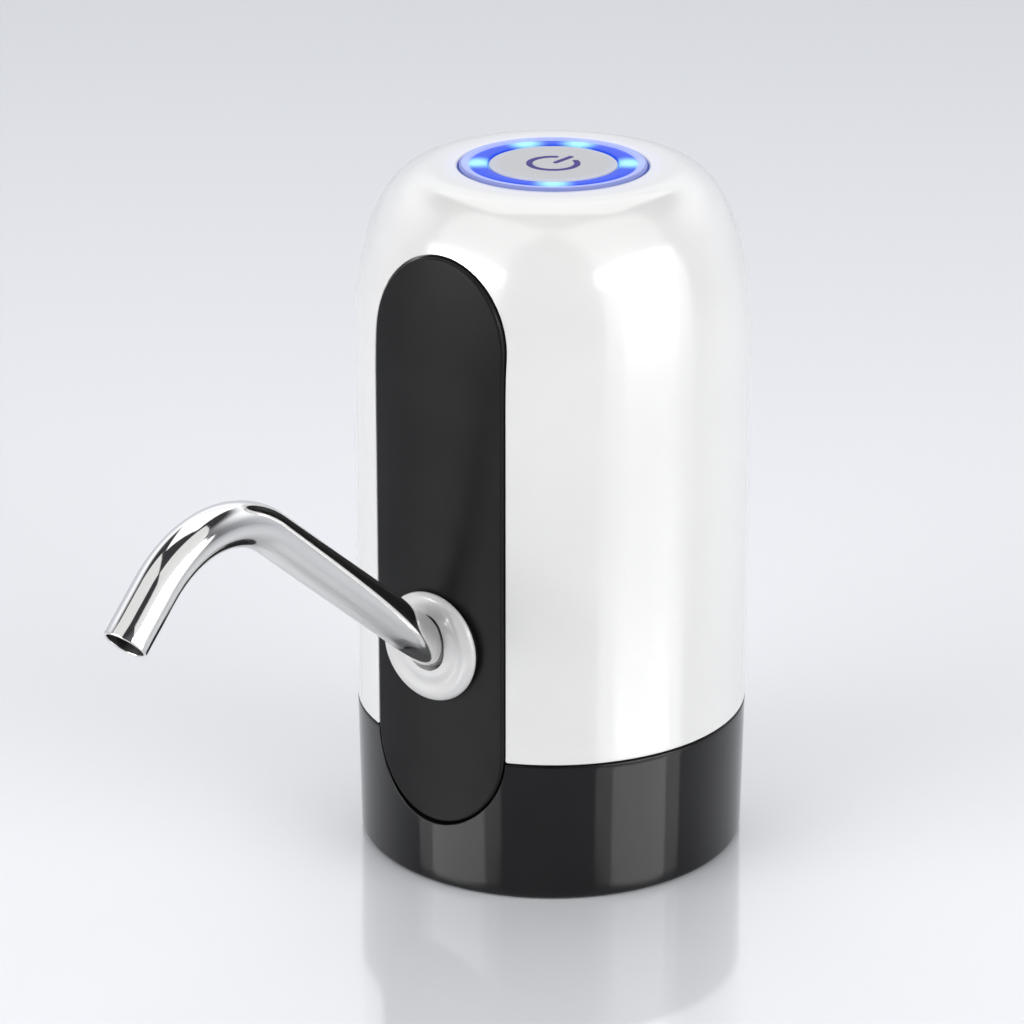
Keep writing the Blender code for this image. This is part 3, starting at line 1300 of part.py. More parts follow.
def make_main_board(body):
    bottom = BOARD_TOP - BOARD_THICKNESS
    board = box("main_board", (BOARD_WIDTH, BOARD_DEPTH, BOARD_THICKNESS),
                (0, BOARD_REAR - BOARD_DEPTH / 2, BOARD_TOP - BOARD_THICKNESS / 2), board_green(), body)
    tongue_start = BOARD_REAR - JOIN
    size = (2 * BOARD_TONGUE_HALF_WIDTH, BOARD_TONGUE_END - tongue_start, BOARD_THICKNESS)
    centre = (0, (BOARD_TONGUE_END + tongue_start) / 2, BOARD_TOP - BOARD_THICKNESS / 2)
    join(board, box("main_board_tongue", size, centre, None, body, cutter=True))
    head_bottom = BOARD_TOP + GAP
    outline = [
        (0, head_bottom + BOARD_SCREW_HEAD_HEIGHT),
        (BOARD_SCREW_HEAD_RADIUS, head_bottom + BOARD_SCREW_HEAD_HEIGHT),
        (BOARD_SCREW_HEAD_RADIUS, head_bottom),
        (BOARD_SCREW_RADIUS, head_bottom),
        (BOARD_SCREW_RADIUS, head_bottom - BOARD_SCREW_LENGTH),
        (0, head_bottom - BOARD_SCREW_LENGTH),
    ]
    for index, side in enumerate((1, -1)):
        place = (side * BOARD_POST_X, BOARD_POST_Y, 0)
        cut(board, rod(f"main_board_hole_{index + 1}", BOARD_SCREW_RADIUS + GAP, bottom - OVERRUN,
                       BOARD_TOP + OVERRUN, None, body, place, STEPS_TINY, cutter=True))
        turned(f"main_board_screw_{index + 1}", outline, plated_steel(), body, place, STEPS_TINY)
    rear = BODY_RADIUS - USB_FACE_INSET
    socket = box("usb_socket", (USB_WIDTH, USB_DEPTH, USB_HEIGHT), (0, rear - USB_DEPTH / 2, usb_height()),
                 plated_steel(), body)
    size = (USB_WIDTH - 2 * USB_WALL, USB_DEPTH, USB_HEIGHT - 2 * USB_WALL)
    cut(socket, box("usb_mouth", size, (0, rear - USB_DEPTH / 2 + USB_WALL, usb_height()),
                    None, body, cutter=True))
    box("control_chip", (CHIP_LENGTH, CHIP_WIDTH, CHIP_HEIGHT),
        (CHIP_X, CHIP_Y, head_bottom + CHIP_HEIGHT / 2), dark_plastic(), body)
    box("motor_transistor", (TRANSISTOR_LENGTH, TRANSISTOR_WIDTH, TRANSISTOR_HEIGHT),
        (TRANSISTOR_X, TRANSISTOR_Y, head_bottom + TRANSISTOR_HEIGHT / 2), dark_plastic(), body)


def make_light_ring(body):
    top = BODY_HEIGHT + RING_RISE
    flange_top = RING_BOTTOM + RING_FLANGE_THICKNESS
    outline = [
        (RING_BORE_RADIUS + RING_EDGE, top),
        (RING_RADIUS - RING_EDGE, top),
        (RING_RADIUS, top - RING_EDGE),
        (RING_RADIUS, flange_top),
        (RING_FLANGE_RADIUS, flange_top),
        (RING_FLANGE_RADIUS, RING_BOTTOM),
        (RING_BORE_RADIUS, RING_BOTTOM),
        (RING_BORE_RADIUS, top - RING_EDGE),
    ]
    turned("light_ring", outline, finish("lit_ring", (0.15, 0.3, 0.95), 0.2), body)


def make_button(button_axis):
    """The push button with its skirt, its retaining flange and the stem on the switch."""
    radius = RING_BORE_RADIUS - GAP
    under = BUTTON_TOP - BUTTON_TOP_WALL
    outline = [
        (0, BUTTON_TOP),
        (radius - BUTTON_EDGE, BUTTON_TOP),
        (radius, BUTTON_TOP - BUTTON_EDGE),
        (radius, BUTTON_SHOULDER),
        (BUTTON_FLANGE_RADIUS, BUTTON_SHOULDER),
        (BUTTON_FLANGE_RADIUS, BUTTON_BOTTOM),
        (radius - BUTTON_WALL, BUTTON_BOTTOM),
        (radius - BUTTON_WALL, under),
        (BUTTON_STEM_RADIUS, under),
        (BUTTON_STEM_RADIUS, PLUNGER_TOP + GAP),
        (0, PLUNGER_TOP + GAP),
    ]
    turned("power_button", outline, finish("button_silver", (0.6, 0.6, 0.61), 0.3, 0.6), button_axis)
    rod("switch_plunger", PLUNGER_RADIUS, PLUNGER_BOTTOM, PLUNGER_TOP, dark_plastic(), button_axis)


def make_button_board(body):
    bottom = BUTTON_BOARD_BOTTOM
    board = rod("button_board", BUTTON_BOARD_RADIUS, bottom, BUTTON_BOARD_TOP, board_green(), body,
                steps=STEPS_MEDIUM)
    head_top = bottom - GAP
    outline = [
        (0, head_top + BOARD_SCREW_LENGTH),
        (BOARD_SCREW_RADIUS, head_top + BOARD_SCREW_LENGTH),
        (BOARD_SCREW_RADIUS, head_top),
        (BOARD_SCREW_HEAD_RADIUS, head_top),
        (BOARD_SCREW_HEAD_RADIUS, head_top - BOARD_SCREW_HEAD_HEIGHT),
        (0, head_top - BOARD_SCREW_HEAD_HEIGHT),
    ]
    for index, side in enumerate((1, -1)):
        place = (side * BUTTON_POST_PLACE, 0, 0)
        cut(board, rod(f"button_board_hole_{index + 1}", BOARD_SCREW_RADIUS + GAP, bottom - OVERRUN,
                       BUTTON_BOARD_TOP + OVERRUN, None, body, place, STEPS_TINY, cutter=True))
        turned(f"button_board_screw_{index + 1}", outline, plated_steel(), body, place, STEPS_TINY)
    switch = box("tact_switch", (SWITCH_SIDE, SWITCH_SIDE, SWITCH_HEIGHT),
                 (0, 0, SWITCH_TOP - SWITCH_HEIGHT / 2), dark_plastic(), body)
    cut(switch, rod("plunger_well", PLUNGER_RADIUS + GAP, SWITCH_TOP - PLUNGER_WELL, SWITCH_TOP + OVERRUN,
                    None, body, cutter=True))
    for index, angle in enumerate(LED_ANGLES):
        centre = (LED_CIRCLE * cos(angle), LED_CIRCLE * sin(angle), BUTTON_BOARD_TOP + GAP + LED_HEIGHT / 2)
        box(f"led_{index + 1}", (LED_LENGTH, LED_WIDTH, LED_HEIGHT), centre,
            finish("led_lens", (0.6, 0.85, 1.0), 0.2), body, turn=(0, 0, angle))


def lead_points(start, end, table):
    """The points of a lead that runs down from its start to its end on the main board."""
    points = []
    for across, back, rise in table:
        if rise > 1:
            height = start.z + (rise - 1) * (BUTTON_BOARD_BOTTOM - start.z)
        else:
            height = end.z + rise * (start.z - end.z)
        x = start.x + across * (end.x - start.x)
        y = start.y + back * (end.y - start.y)
        points.append(Vector((x, y, height)))
    return smooth_route(points, WIRE_STEPS)


def board_pad(shares):
    """A place on the main board, from its shares of the width and of the depth."""
    across, back = shares
    return Vector((across * BOARD_WIDTH, BOARD_FRONT + back * BOARD_DEPTH, BOARD_TOP + GAP))


def make_wires(body):
    """Leads from the cell, the motor and the button board down to the main board."""
    cell_top = DECK_TOP + 3 * GAP + CRADLE_WALL + BATTERY_LENGTH + WIRE_RADIUS
    cap_top = MOTOR_BOTTOM + MOTOR_LENGTH + END_CAP_THICKNESS + 2 * GAP
    red = finish("red_wire", (0.6, 0.02, 0.02), 0.4)
    black = finish("black_wire", (0.02, 0.02, 0.02), 0.4)
    white = finish("white_wire", (0.8, 0.8, 0.78), 0.4)
    cell = Vector((BATTERY_X, BATTERY_LEAD_SETBACK, cell_top))
    spacing = Vector((BATTERY_LEAD_SPACING, 0, 0))
    motor = Vector((PUMP_X, MOTOR_LEAD_SETBACK, cap_top))
    terminal = Vector((TERMINAL_PLACE, 0, 0))
    button = Vector((BUTTON_LEAD_X, BUTTON_LEAD_SETBACK, BUTTON_BOARD_BOTTOM - GAP))
    leads = (
        ("battery_lead_positive", red, WIRE_RADIUS, cell, BATTERY_POSITIVE_END_SHARES,
         BATTERY_POSITIVE_SHARES),
        ("battery_lead_negative", black, WIRE_RADIUS, cell - spacing, BATTERY_NEGATIVE_END_SHARES,
         BATTERY_NEGATIVE_SHARES),
        ("motor_lead_positive", red, WIRE_RADIUS, motor + terminal, MOTOR_POSITIVE_END_SHARES,
         MOTOR_POSITIVE_SHARES),
        ("motor_lead_negative", black, WIRE_RADIUS, motor - terminal, MOTOR_NEGATIVE_END_SHARES,
         MOTOR_NEGATIVE_SHARES),
        ("button_lead", white, BUTTON_LEAD_RADIUS, button, BUTTON_END_SHARES, BUTTON_SHARES),
    )
    for name, look, radius, start, end_shares, table in leads:
        wire(name, lead_points(start, board_pad(end_shares), table), radius, look, body)


def main():
    body = empty("body_axis", (0, AXIS_Y, 0))
    front = empty("front_frame", (0, 0, 0), body, (pi / 2, 0, 0))
    spout_axis = empty("spout_axis", (0, 0, SPOUT_HEIGHT), body, (pi / 2, 0, 0))
    pump_axis = empty("pump_axis", (PUMP_X, 0, 0), body)
    motor_axis = empty("motor_axis", (PUMP_X, 0, 0), body)
    button_axis = empty("button_axis", (0, 0, 0), body)
    panel_slot = make_panel_slot(front)
    make_shell(body, panel_slot)
    make_base_ring(body, panel_slot)
    make_deck(body, panel_slot)
    make_neck_gasket(body)
    make_inlet_barb(body)
    make_case_screws(body)
    make_front_panel(front, spout_axis)
    make_spout_collar(spout_axis)
    make_outlet_socket(body, spout_axis)
    make_spout_o_ring(spout_axis)
    pipe("spout", spout_route(), TUBE_RADIUS, TUBE_WALL, stainless(), spout_axis)
    make_pump_cover(pump_axis)
    make_valves(pump_axis)
    make_diaphragm(pump_axis)
    make_pump_housing(pump_axis)
    make_pump_screws(pump_axis)
    make_wobble_drive(motor_axis)
    make_motor(pump_axis, motor_axis)
    make_hoses(body)
    make_battery(body)
    make_main_board(body)
    make_light_ring(body)
    make_button(button_axis)
    make_button_board(body)
    make_wires(body)


main()
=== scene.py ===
"""Looks of the bottled water pump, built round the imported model.

Lengths are written in millimetres and scaled once. The housing's axis is upright and the
spout points along -Y, as in the model.
"""
import json
from math import cos, pi, radians, sin, sqrt

import bmesh
import bpy
import numpy as np
from mathutils import Matrix, Vector


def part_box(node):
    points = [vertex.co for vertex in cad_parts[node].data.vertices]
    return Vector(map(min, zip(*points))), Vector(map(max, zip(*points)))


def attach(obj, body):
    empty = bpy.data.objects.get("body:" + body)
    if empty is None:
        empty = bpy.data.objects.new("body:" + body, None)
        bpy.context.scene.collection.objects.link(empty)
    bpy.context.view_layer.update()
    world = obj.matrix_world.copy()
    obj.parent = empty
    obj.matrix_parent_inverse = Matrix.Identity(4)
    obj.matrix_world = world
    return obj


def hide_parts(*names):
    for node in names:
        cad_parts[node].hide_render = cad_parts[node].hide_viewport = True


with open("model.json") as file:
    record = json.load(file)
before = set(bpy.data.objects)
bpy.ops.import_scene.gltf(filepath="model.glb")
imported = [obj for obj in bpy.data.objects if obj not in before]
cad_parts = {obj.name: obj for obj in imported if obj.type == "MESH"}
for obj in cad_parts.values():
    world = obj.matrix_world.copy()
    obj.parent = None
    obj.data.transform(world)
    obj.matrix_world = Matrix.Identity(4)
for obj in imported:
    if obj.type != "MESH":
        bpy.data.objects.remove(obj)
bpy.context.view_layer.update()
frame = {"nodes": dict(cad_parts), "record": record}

MM = 0.001
ring_low, ring_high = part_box("light_ring")
AXIS = Vector((0, (ring_low.y + ring_high.y) / 2, 0))

# Camera, fitted to the photograph: millimetres and degrees
LENS = 147.9
CAMERA_TURN = 36.9
CAMERA_REACH = 732.55
CAMERA_HEIGHT = 337.2
CAMERA_DIP = 20.558
CAMERA_YAW = -0.5825
SENSOR_WIDTH = 36.0

# Housing
GAP = 0.3
BODY_RADIUS = 36.5
BODY_HEIGHT = 129.5
SEAM_HEIGHT = 27.0
HALF_SEAM = 0.15
SHELL_WALL = 2.0
DOME_START = 94.5
DOME_FLAT_RADIUS = 21.6
DOME_POWER = 2.3
BASE_DRAFT = 0.45
BASE_FILLET = 1.2
BASE_TOP_EDGE = 0.3
BASE_FLOOR = 2.0
SHELL_EDGE = 0.25
NECK_BORE_RADIUS = 28.2
NECK_WALL = 1.6
NECK_BORE_EDGE = 0.8
RECESS_HEIGHT = 25.0
RING_HOLE_RADIUS = 17.3
RING_HOLE_LIP = 0.5
SLOT_LIP = 0.3
SLOT_CORNER = 0.8
USB_WINDOW = (8.2, 12.0, 3.3)
USB_HEIGHT = 34.25
USB_CORNER = 1.2
WELL_PLACE_RADIUS = 32.0
WELL_RADIUS = 2.2
WELL_TOP = 1.7

# Panel
PANEL_FACE = 35.7
PANEL_BACK = 31.2
PANEL_HALF_WIDTH = 14.35
PANEL_END_HEIGHT = 15.8
PANEL_BOTTOM = 12.6
PANEL_TOP = 119.8
PANEL_CROWN_RADIUS = 55.0
PANEL_LEAN_SHARE = 0.6
PANEL_EDGE = 0.5
LAND_RADIUS = 9.6
LAND_ROUND = 0.2
LAND_BACK = 33.9
COLLAR_HOLE_RADIUS = 7.9

# Spout
SPOUT_HEIGHT = 47.5
TUBE_RADIUS = 4.0
TUBE_WALL = 0.55
TUBE_LIP = 0.22
MOUTH_RADIUS = TUBE_RADIUS + 0.25
TUBE_INNER_END = 22.99
SPOUT_CORNER = 36.39
SPOUT_FIRST_BEND = 5.0
SPOUT_RISE = radians(38.8)
SPOUT_STRAIGHT = 53.81
SPOUT_SECOND_BEND = 22.4
SPOUT_FALL = radians(43.4)
SPOUT_TIP = 10.74

# Collar
COLLAR_BACK = 31.8
COLLAR_STEM_RADIUS = 7.6
COLLAR_STEM_FACE = 33.0
COLLAR_ROLL = (8.4, 36.62)
COLLAR_ROLL_HALVES = (1.9, 1.2)

# Ring and button, with the lamps below the ring at angles from +X
RING_TOP = 129.9
RING_RADIUS = 17.0
RING_BORE_RADIUS = 12.0
RING_EDGE = 0.35
RING_FLANGE_RADIUS = 18.3
RING_FLANGE_TOP = 127.2
RING_BOTTOM = 125.9
BUTTON_TOP = 129.7
BUTTON_EDGE = 0.45
BUTTON_FOOT = 124.8
BUTTON_SKIRT_TOP = 125.6
BUTTON_CEILING = 127.3
LED_RADIUS = 13.7
LED_REACH = 5.2
LED_ANGLES = (36.9, 106.9, 148.9, 216.9, 306.9)

# Standby sign
SIGN_RADIUS = 4.35
SIGN_WIDTH = 1.15
SIGN_FACING = 90.4
SIGN_HALF_OPENING = 31.0
SIGN_BAR_WIDTH = 1.05
SIGN_BAR_START = 0.75
SIGN_BAR_LENGTH = 4.6
SIGN_BOTTOM = BUTTON_TOP - 0.075
SIGN_TOP = BUTTON_TOP - 0.02

# Where colours change: radii in millimetres, heights of the halo in metres; the halo on the shell and the
# button's blue edge are the ring's light painted as emission
PAINTED_HALO_RADII = (17.0, 22.5)
PAINTED_HALO_HEIGHTS = (0.126, 0.1295)
PAINTED_HALO_GLOW = 0.14
BAND_EDGE = (15.0, 15.45)
RING_DARK_EDGE = (16.4, 16.85)
BUTTON_PAINTED_GLOW_RADII = (9.0, 12.0)
TUBE_MARKS = (3.0, 0.25, 0.25)

# Studio: the lamps aim at a point on the axis, in metres
AIM = Vector((0, AXIS.y, 0.07))
FLOOR_HALF = 4000
BACK_LOBE = (-0.2, 0.6)
BACK_RISE = (0.12, 0.5)
TOP_RISE = (0.5, 0.72)

# Name, turn and lift in degrees, reach, width and height in metres, power in watts
LAMPS = (
    ("strip_right", 54, 22, 1.3, 1.25, 0.2, 4.4),
    ("core_right", 54, 22, 1.29, 0.75, 0.2, 3.7),
    ("low_right", 58, 7.3, 1.3, 1.4, 0.47, 3.1),
    ("low_core_right", 58, 7.3, 1.29, 0.8, 0.47, 2.0),
    ("high_right", 54, 49, 1.3, 1.2, 1.05, 3.6),
    ("strip_left", -57.5, 22, 1.3, 1.25, 0.2, 4.4),
    ("core_left", -57.5, 22, 1.29, 0.75, 0.2, 3.7),
    ("low_left", -60, 7.3, 1.3, 1.4, 0.47, 2.8),
    ("low_core_left", -60, 7.3, 1.29, 0.8, 0.47, 1.8),
    ("high_left", -57.5, 49, 1.3, 1.2, 1.05, 3.6),
    ("softbox_top", 180, 62, 1.5, 1.2, 1.2, 6.6),
)

LATHE_STEPS = 240


def object_from(name, mesh, look=None):
    """An object of a mesh, with one material at most."""
    made = bpy.data.objects.new(name, mesh)
    bpy.context.scene.collection.objects.link(made)
    if look is not None:
        mesh.materials.clear()
        mesh.materials.append(look)
    return made


def mesh_from(name, vertices, faces):
    """A mesh from places in millimetres."""
    mesh = bpy.data.meshes.new(name)
    mesh.from_pydata([Vector(v) * MM for v in vertices], [], faces)
    mesh.update()
    return mesh


def tidy(mesh, sharp=35.0, merge=0.0005):
    """Weld, face outwards, and shade smooth except over sharp corners."""
    shape = bmesh.new()
    shape.from_mesh(mesh)
    bmesh.ops.remove_doubles(shape, verts=shape.verts, dist=merge * MM)
    bmesh.ops.recalc_face_normals(shape, faces=shape.faces)
    shape.to_mesh(mesh)
    shape.free()
    mesh.shade_smooth()
    mesh.set_sharp_from_angle(angle=radians(sharp))
    return mesh


def even_normals(made):
    """Weight corner normals by face area, so that flats beside small rounds stay flat."""
    weighted = made.modifiers.new("even_normals", "WEIGHTED_NORMAL")
    weighted.keep_sharp = True
    weighted.weight = 80


def arc(centre_r, centre_z, radius, first, last, steps):
    """Outline points on an arc, with angles in degrees from the outward direction."""
    points = []
    for step in range(steps + 1):
        angle = radians(first + (last - first) * step / steps)
        points.append((centre_r + radius * cos(angle), centre_z + radius * sin(angle)))
    return points


def lathe_mesh(name, outline, steps=LATHE_STEPS, closed=True):
    """Turn an outline of (radius, height) points about the upright axis."""
    vertices = []
    rows = []
    for radius, height in outline:
        if radius == 0:
            rows.append([len(vertices)] * steps)
            vertices.append((0, 0, height))
            continue
        row = []
        for step in range(steps):
            angle = 2 * pi * step / steps
            row.append(len(vertices))
            vertices.append((radius * cos(angle), radius * sin(angle), height))
        rows.append(row)
    faces = []
    pairs = list(zip(rows, rows[1:]))
    if closed:
        pairs.append((rows[-1], rows[0]))
    for upper, lower in pairs:
        for step in range(steps):
            after = (step + 1) % steps
            corners = [upper[step], lower[step], lower[after], upper[after]]
            faces.append(list(dict.fromkeys(corners)))
    faces = [face for face in faces if len(face) > 2]
    return mesh_from(name, vertices, faces)


def plug(name, radius, low, high, steps=96):
    """A plain upright cylinder, to cut with."""
    return lathe_mesh(name, [(0, high), (radius, high), (radius, low), (0, low)], steps, closed=False)


def place_on_axis(mesh):
    """Move a mesh made round the origin to the housing's axis."""
    mesh.transform(Matrix.Translation(AXIS))
    return mesh


def place_on_front(mesh):
    """Turn a mesh so that its own axis points out of the front, at the spout's height."""
    turn = Matrix.Rotation(pi / 2, 4, "X")
    mesh.transform(Matrix.Translation(AXIS + Vector((0, 0, SPOUT_HEIGHT * MM))) @ turn)
    return mesh


# Materials


class Nodes:
    """A short way to build the node tree of a material or a world."""

    def __init__(self, owner, shader, place):
        owner.use_nodes = True
        self.tree = owner.node_tree
        self.shader = self.tree.nodes[shader]
        self.place = self.add("ShaderNodeTexCoord").outputs[place]

    def add(self, kind, **values):
        node = self.tree.nodes.new(kind)
        for key, value in values.items():
            setattr(node, key, value)
        return node

    def link(self, source, target):
        self.tree.links.new(source, target)

    def fill(self, socket, value):
        if hasattr(value, "links"):
            self.link(value, socket)
        else:
            socket.default_value = value

    def maths(self, operation, first, second=0.0, clamp=False):
        node = self.add("ShaderNodeMath", operation=operation, use_clamp=clamp)
        for socket, value in zip(node.inputs, (first, second)):
            self.fill(socket, value)
        return node.outputs[0]

    def vectors(self, operation, first, second):
        """Outputs of a vector node whose second input is a vector or, for SCALE, a number."""
        node = self.add("ShaderNodeVectorMath", operation=operation)
        self.fill(node.inputs[0], first)
        self.fill(node.inputs["Scale" if operation == "SCALE" else 1], second)
        return node.outputs

    def noise(self, scale, detail=3.0, roughness=0.5, stretch=None):
        node = self.add("ShaderNodeTexNoise")
        node.inputs["Scale"].default_value = scale
        node.inputs["Detail"].default_value = detail
        node.inputs["Roughness"].default_value = roughness
        source = self.place
        if stretch:
            mapping = self.add("ShaderNodeMapping")
            mapping.inputs["Scale"].default_value = stretch
            self.link(source, mapping.inputs["Vector"])
            source = mapping.outputs["Vector"]
        self.link(source, node.inputs["Vector"])
        return node.outputs["Fac"]

    def spread(self, value, low, high, to_low, to_high, smooth=False):
        node = self.add("ShaderNodeMapRange")
        if smooth:
            node.interpolation_type = "SMOOTHERSTEP"
        for socket, number in zip(node.inputs, (value, low, high, to_low, to_high)):
            self.fill(socket, number)
        return node.outputs[0]

    def blend(self, share, first, second):
        node = self.add("ShaderNodeMix", data_type="RGBA")
        self.fill(node.inputs[0], share)
        for socket, colour in ((node.inputs[6], first), (node.inputs[7], second)):
            self.fill(socket, colour if hasattr(colour, "links") else (*colour, 1.0))
        return node.outputs[2]

    def set(self, **values):
        for key, value in values.items():
            self.fill(self.shader.inputs[key.replace("_", " ")], value)

    def bump(self, height, depth, strength=1.0):
        node = self.add("ShaderNodeBump")
        node.inputs["Strength"].default_value = strength
        node.inputs["Distance"].default_value = depth * MM
        self.link(height, node.inputs["Height"])
        self.link(node.outputs["Normal"], self.shader.inputs["Normal"])


class Look(Nodes):
    """A material's node tree."""

    def __init__(self, name):
        self.material = bpy.data.materials.new(name)
        super().__init__(self.material, "Principled BSDF", "Object")


def moulded(name, colour, other, roughness, spread=0.03, grain=900.0, depth=0.004, blotch=60.0):
    """Moulded plastic or rubber: faint mottling, uneven gloss and a fine skin."""
    look = Look(name)
    patches = look.spread(look.noise(blotch, 4.0), 0.35, 0.65, 0.0, 1.0)
    fine = look.noise(grain, 5.0, 0.6)
    look.set(Base_Color=look.blend(patches, colour, other),
             Roughness=look.spread(fine, 0.3, 0.7, roughness - spread, roughness + spread))
    look.bump(fine, depth, 0.5)
    return look


def brushed(name, colour, other, roughness, stretch, grain=400.0, depth=0.002):
    """Metal with fine drawn marks along one direction."""
    look = Look(name)
    marks = look.noise(grain, 4.0, 0.6, stretch)
    look.set(Base_Color=look.blend(marks, colour, other), Metallic=1.0,
             Roughness=look.spread(marks, 0.3, 0.7, roughness * 0.8, roughness * 1.25))
    look.bump(marks, depth, 0.4)
    return look


def axis_distance(look):
    """Distance from the housing's axis in millimetres, and height in metres."""
    split = look.add("ShaderNodeSeparateXYZ")
    look.link(look.place, split.inputs[0])
    y = look.maths("SUBTRACT", split.outputs[1], AXIS.y)
    square = look.maths("ADD", look.maths("MULTIPLY", split.outputs[0], split.outputs[0]),
                        look.maths("MULTIPLY", y, y))
    return look.maths("MULTIPLY", look.maths("SQRT", square), 1 / MM), split.outputs[2]


def led_light(look):
    """Sum of soft spots over the five lamps, from 0 to 1."""
    total = None
    for degrees in LED_ANGLES:
        angle = radians(degrees)
        spot = Vector((LED_RADIUS * cos(angle), LED_RADIUS * sin(angle), 0)) * MM + AXIS
        spot.z = RING_TOP * MM
        away = look.vectors("DISTANCE", look.place, spot)["Value"]
        near = look.spread(away, 0.0, LED_REACH * MM, 1.0, 0.0, smooth=True)
        total = near if total is None else look.maths("ADD", total, near, clamp=True)
    return total


def white_gloss():
    """Lacquered white, with the lit ring's faint halo on the top painted as a blue emission."""
    look = moulded("white_gloss", (0.665, 0.662, 0.654), (0.68, 0.677, 0.667), 0.22, 0.02, 700.0, 0.0012)
    look.set(Coat_Weight=1.0, Coat_Roughness=0.14, Coat_IOR=1.7)
    # Painted glow: the ring's blue light on the shell, round the ring's hole, is painted as emission
    distance, height = axis_distance(look)
    near = look.spread(distance, *PAINTED_HALO_RADII, 1.0, 0.0, smooth=True)
    top = look.spread(height, *PAINTED_HALO_HEIGHTS, 0.0, 1.0)
    painted_halo = look.maths("MULTIPLY", near, top)
    painted_glow = look.maths("MULTIPLY", painted_halo, PAINTED_HALO_GLOW)
    look.set(Emission_Color=look.blend(painted_glow, (0.0, 0.0, 0.0), (0.25, 0.3, 0.95)), Emission_Strength=1.0)
    return look.material


def black_gloss():
    """Glossy black of the foot."""
    look = moulded("black_gloss", (0.004, 0.004, 0.0045), (0.006, 0.006, 0.0065), 0.07, 0.02,
                   700.0, 0.0012)
    look.set(Specular_IOR_Level=0.31)
    return look.material


def panel_gloss():
    """Satin black of the panel."""
    look = moulded("panel_gloss", (0.009, 0.009, 0.0095), (0.012, 0.012, 0.0125), 0.33, 0.03,
                   900.0, 0.001)
    look.set(Specular_IOR_Level=0.12)
    return look.material


def collar_gloss():
    """The collar's white, which is duller than the shell's."""
    look = moulded("collar_gloss", (0.56, 0.558, 0.555), (0.59, 0.588, 0.585), 0.22, 0.03,
                   900.0, 0.0015)
    look.set(Coat_Weight=0.3, Coat_Roughness=0.08)
    return look.material


def polished_steel():
    """Polished tube with faint marks along it."""
    return brushed("polished_steel", (0.74, 0.735, 0.725), (0.8, 0.795, 0.785), 0.07, TUBE_MARKS,
                   700.0, 0.0006).material


def painted_shade_bore():
    """The tube's inside: dull steel, with its shade painted in as a near-black colour."""
    return brushed("painted_shade_bore", (0.05, 0.05, 0.05), (0.08, 0.08, 0.08), 0.5, TUBE_MARKS).material


def lit_ring_look():
    """Clear outer lip over a blue-lit band, with a bright patch above each lamp."""
    look = Look("lit_ring")
    distance, _ = axis_distance(look)
    hot = look.maths("POWER", led_light(look), 1.2)
    band = look.spread(distance, *BAND_EDGE, 1.0, 0.0, smooth=True)
    grain = look.spread(look.noise(900.0, 3.0), 0.3, 0.7, 0.92, 1.08)
    blue = look.blend(hot, (0.004, 0.05, 0.72), (0.40, 0.95, 1.0))
    lip = look.blend(look.maths("MULTIPLY", hot, 0.35), (0.20, 0.25, 0.75), (0.35, 0.60, 0.95))
    rim = look.spread(distance, *RING_DARK_EDGE, 0.0, 1.0, smooth=True)
    lip = look.blend(rim, lip, (0.03, 0.05, 0.22))
    shown = look.blend(band, lip, blue)
    look.set(Emission_Color=look.vectors("SCALE", shown, grain)["Vector"], Emission_Strength=1.0,
             Base_Color=look.blend(band, (0.2, 0.22, 0.35), (0.004, 0.02, 0.1)),
             Roughness=0.2, Specular_IOR_Level=0.07)
    return look.material


def button_satin():
    """Fine-grained silver paint, with the ring's blue light on its edge painted as emission."""
    look = Look("button_satin")
    grain = look.noise(2600.0, 3.0, 0.6)
    distance, _ = axis_distance(look)
    # Painted glow: the ring's blue light on the button's edge, painted as emission
    edge = look.spread(distance, *BUTTON_PAINTED_GLOW_RADII, 0.0, 0.10, smooth=True)
    look.set(Base_Color=look.blend(grain, (0.46, 0.465, 0.48), (0.53, 0.535, 0.55)),
             Roughness=look.spread(grain, 0.3, 0.7, 0.28, 0.38), Metallic=0.15, Specular_IOR_Level=0.2,
             Emission_Color=look.blend(edge, (0.0, 0.0, 0.0), (0.2, 0.35, 1.0)), Emission_Strength=1.0)
    look.bump(grain, 0.003, 0.4)
    return look.material


def symbol_ink():
    """Dark blue ink of the standby sign."""
    look = moulded("symbol_ink", (0.03, 0.018, 0.2), (0.04, 0.024, 0.24), 0.4, 0.04, 1500.0, 0.001)
    look.set(Specular_IOR_Level=0.1)
    return look.material


# Shapes


def body_radius_at(height):
    """Outer radius of base, shell and dome at a height."""
    if height <= SEAM_HEIGHT:
        return BODY_RADIUS - BASE_DRAFT * (1 - max(height, 0) / SEAM_HEIGHT)
    if height <= DOME_START:
        return BODY_RADIUS
    up = min(1.0, (height - DOME_START) / (BODY_HEIGHT - DOME_START))
    out = (1 - up**DOME_POWER) ** (1 / DOME_POWER)
    return DOME_FLAT_RADIUS + (BODY_RADIUS - DOME_FLAT_RADIUS) * out


def dome_outline(radius, top, steps=44):
    """Outline points of a dome from its flat top down to the straight wall."""
    points = []
    for step in range(steps + 1):
        angle = pi / 2 * (1 - step / steps)
        out = cos(angle) ** (2 / DOME_POWER) if step else 0
        up = sin(angle) ** (2 / DOME_POWER) if step < steps else 0
        points.append((DOME_FLAT_RADIUS + (radius - DOME_FLAT_RADIUS) * out,
                       DOME_START + (top - DOME_START) * up))
    return points


def capsule_sizes(margin):
    """Half width, height of the round ends, and the heights at which they start."""
    return (PANEL_HALF_WIDTH + margin, PANEL_END_HEIGHT + margin,
            PANEL_TOP - PANEL_END_HEIGHT, PANEL_BOTTOM + PANEL_END_HEIGHT)


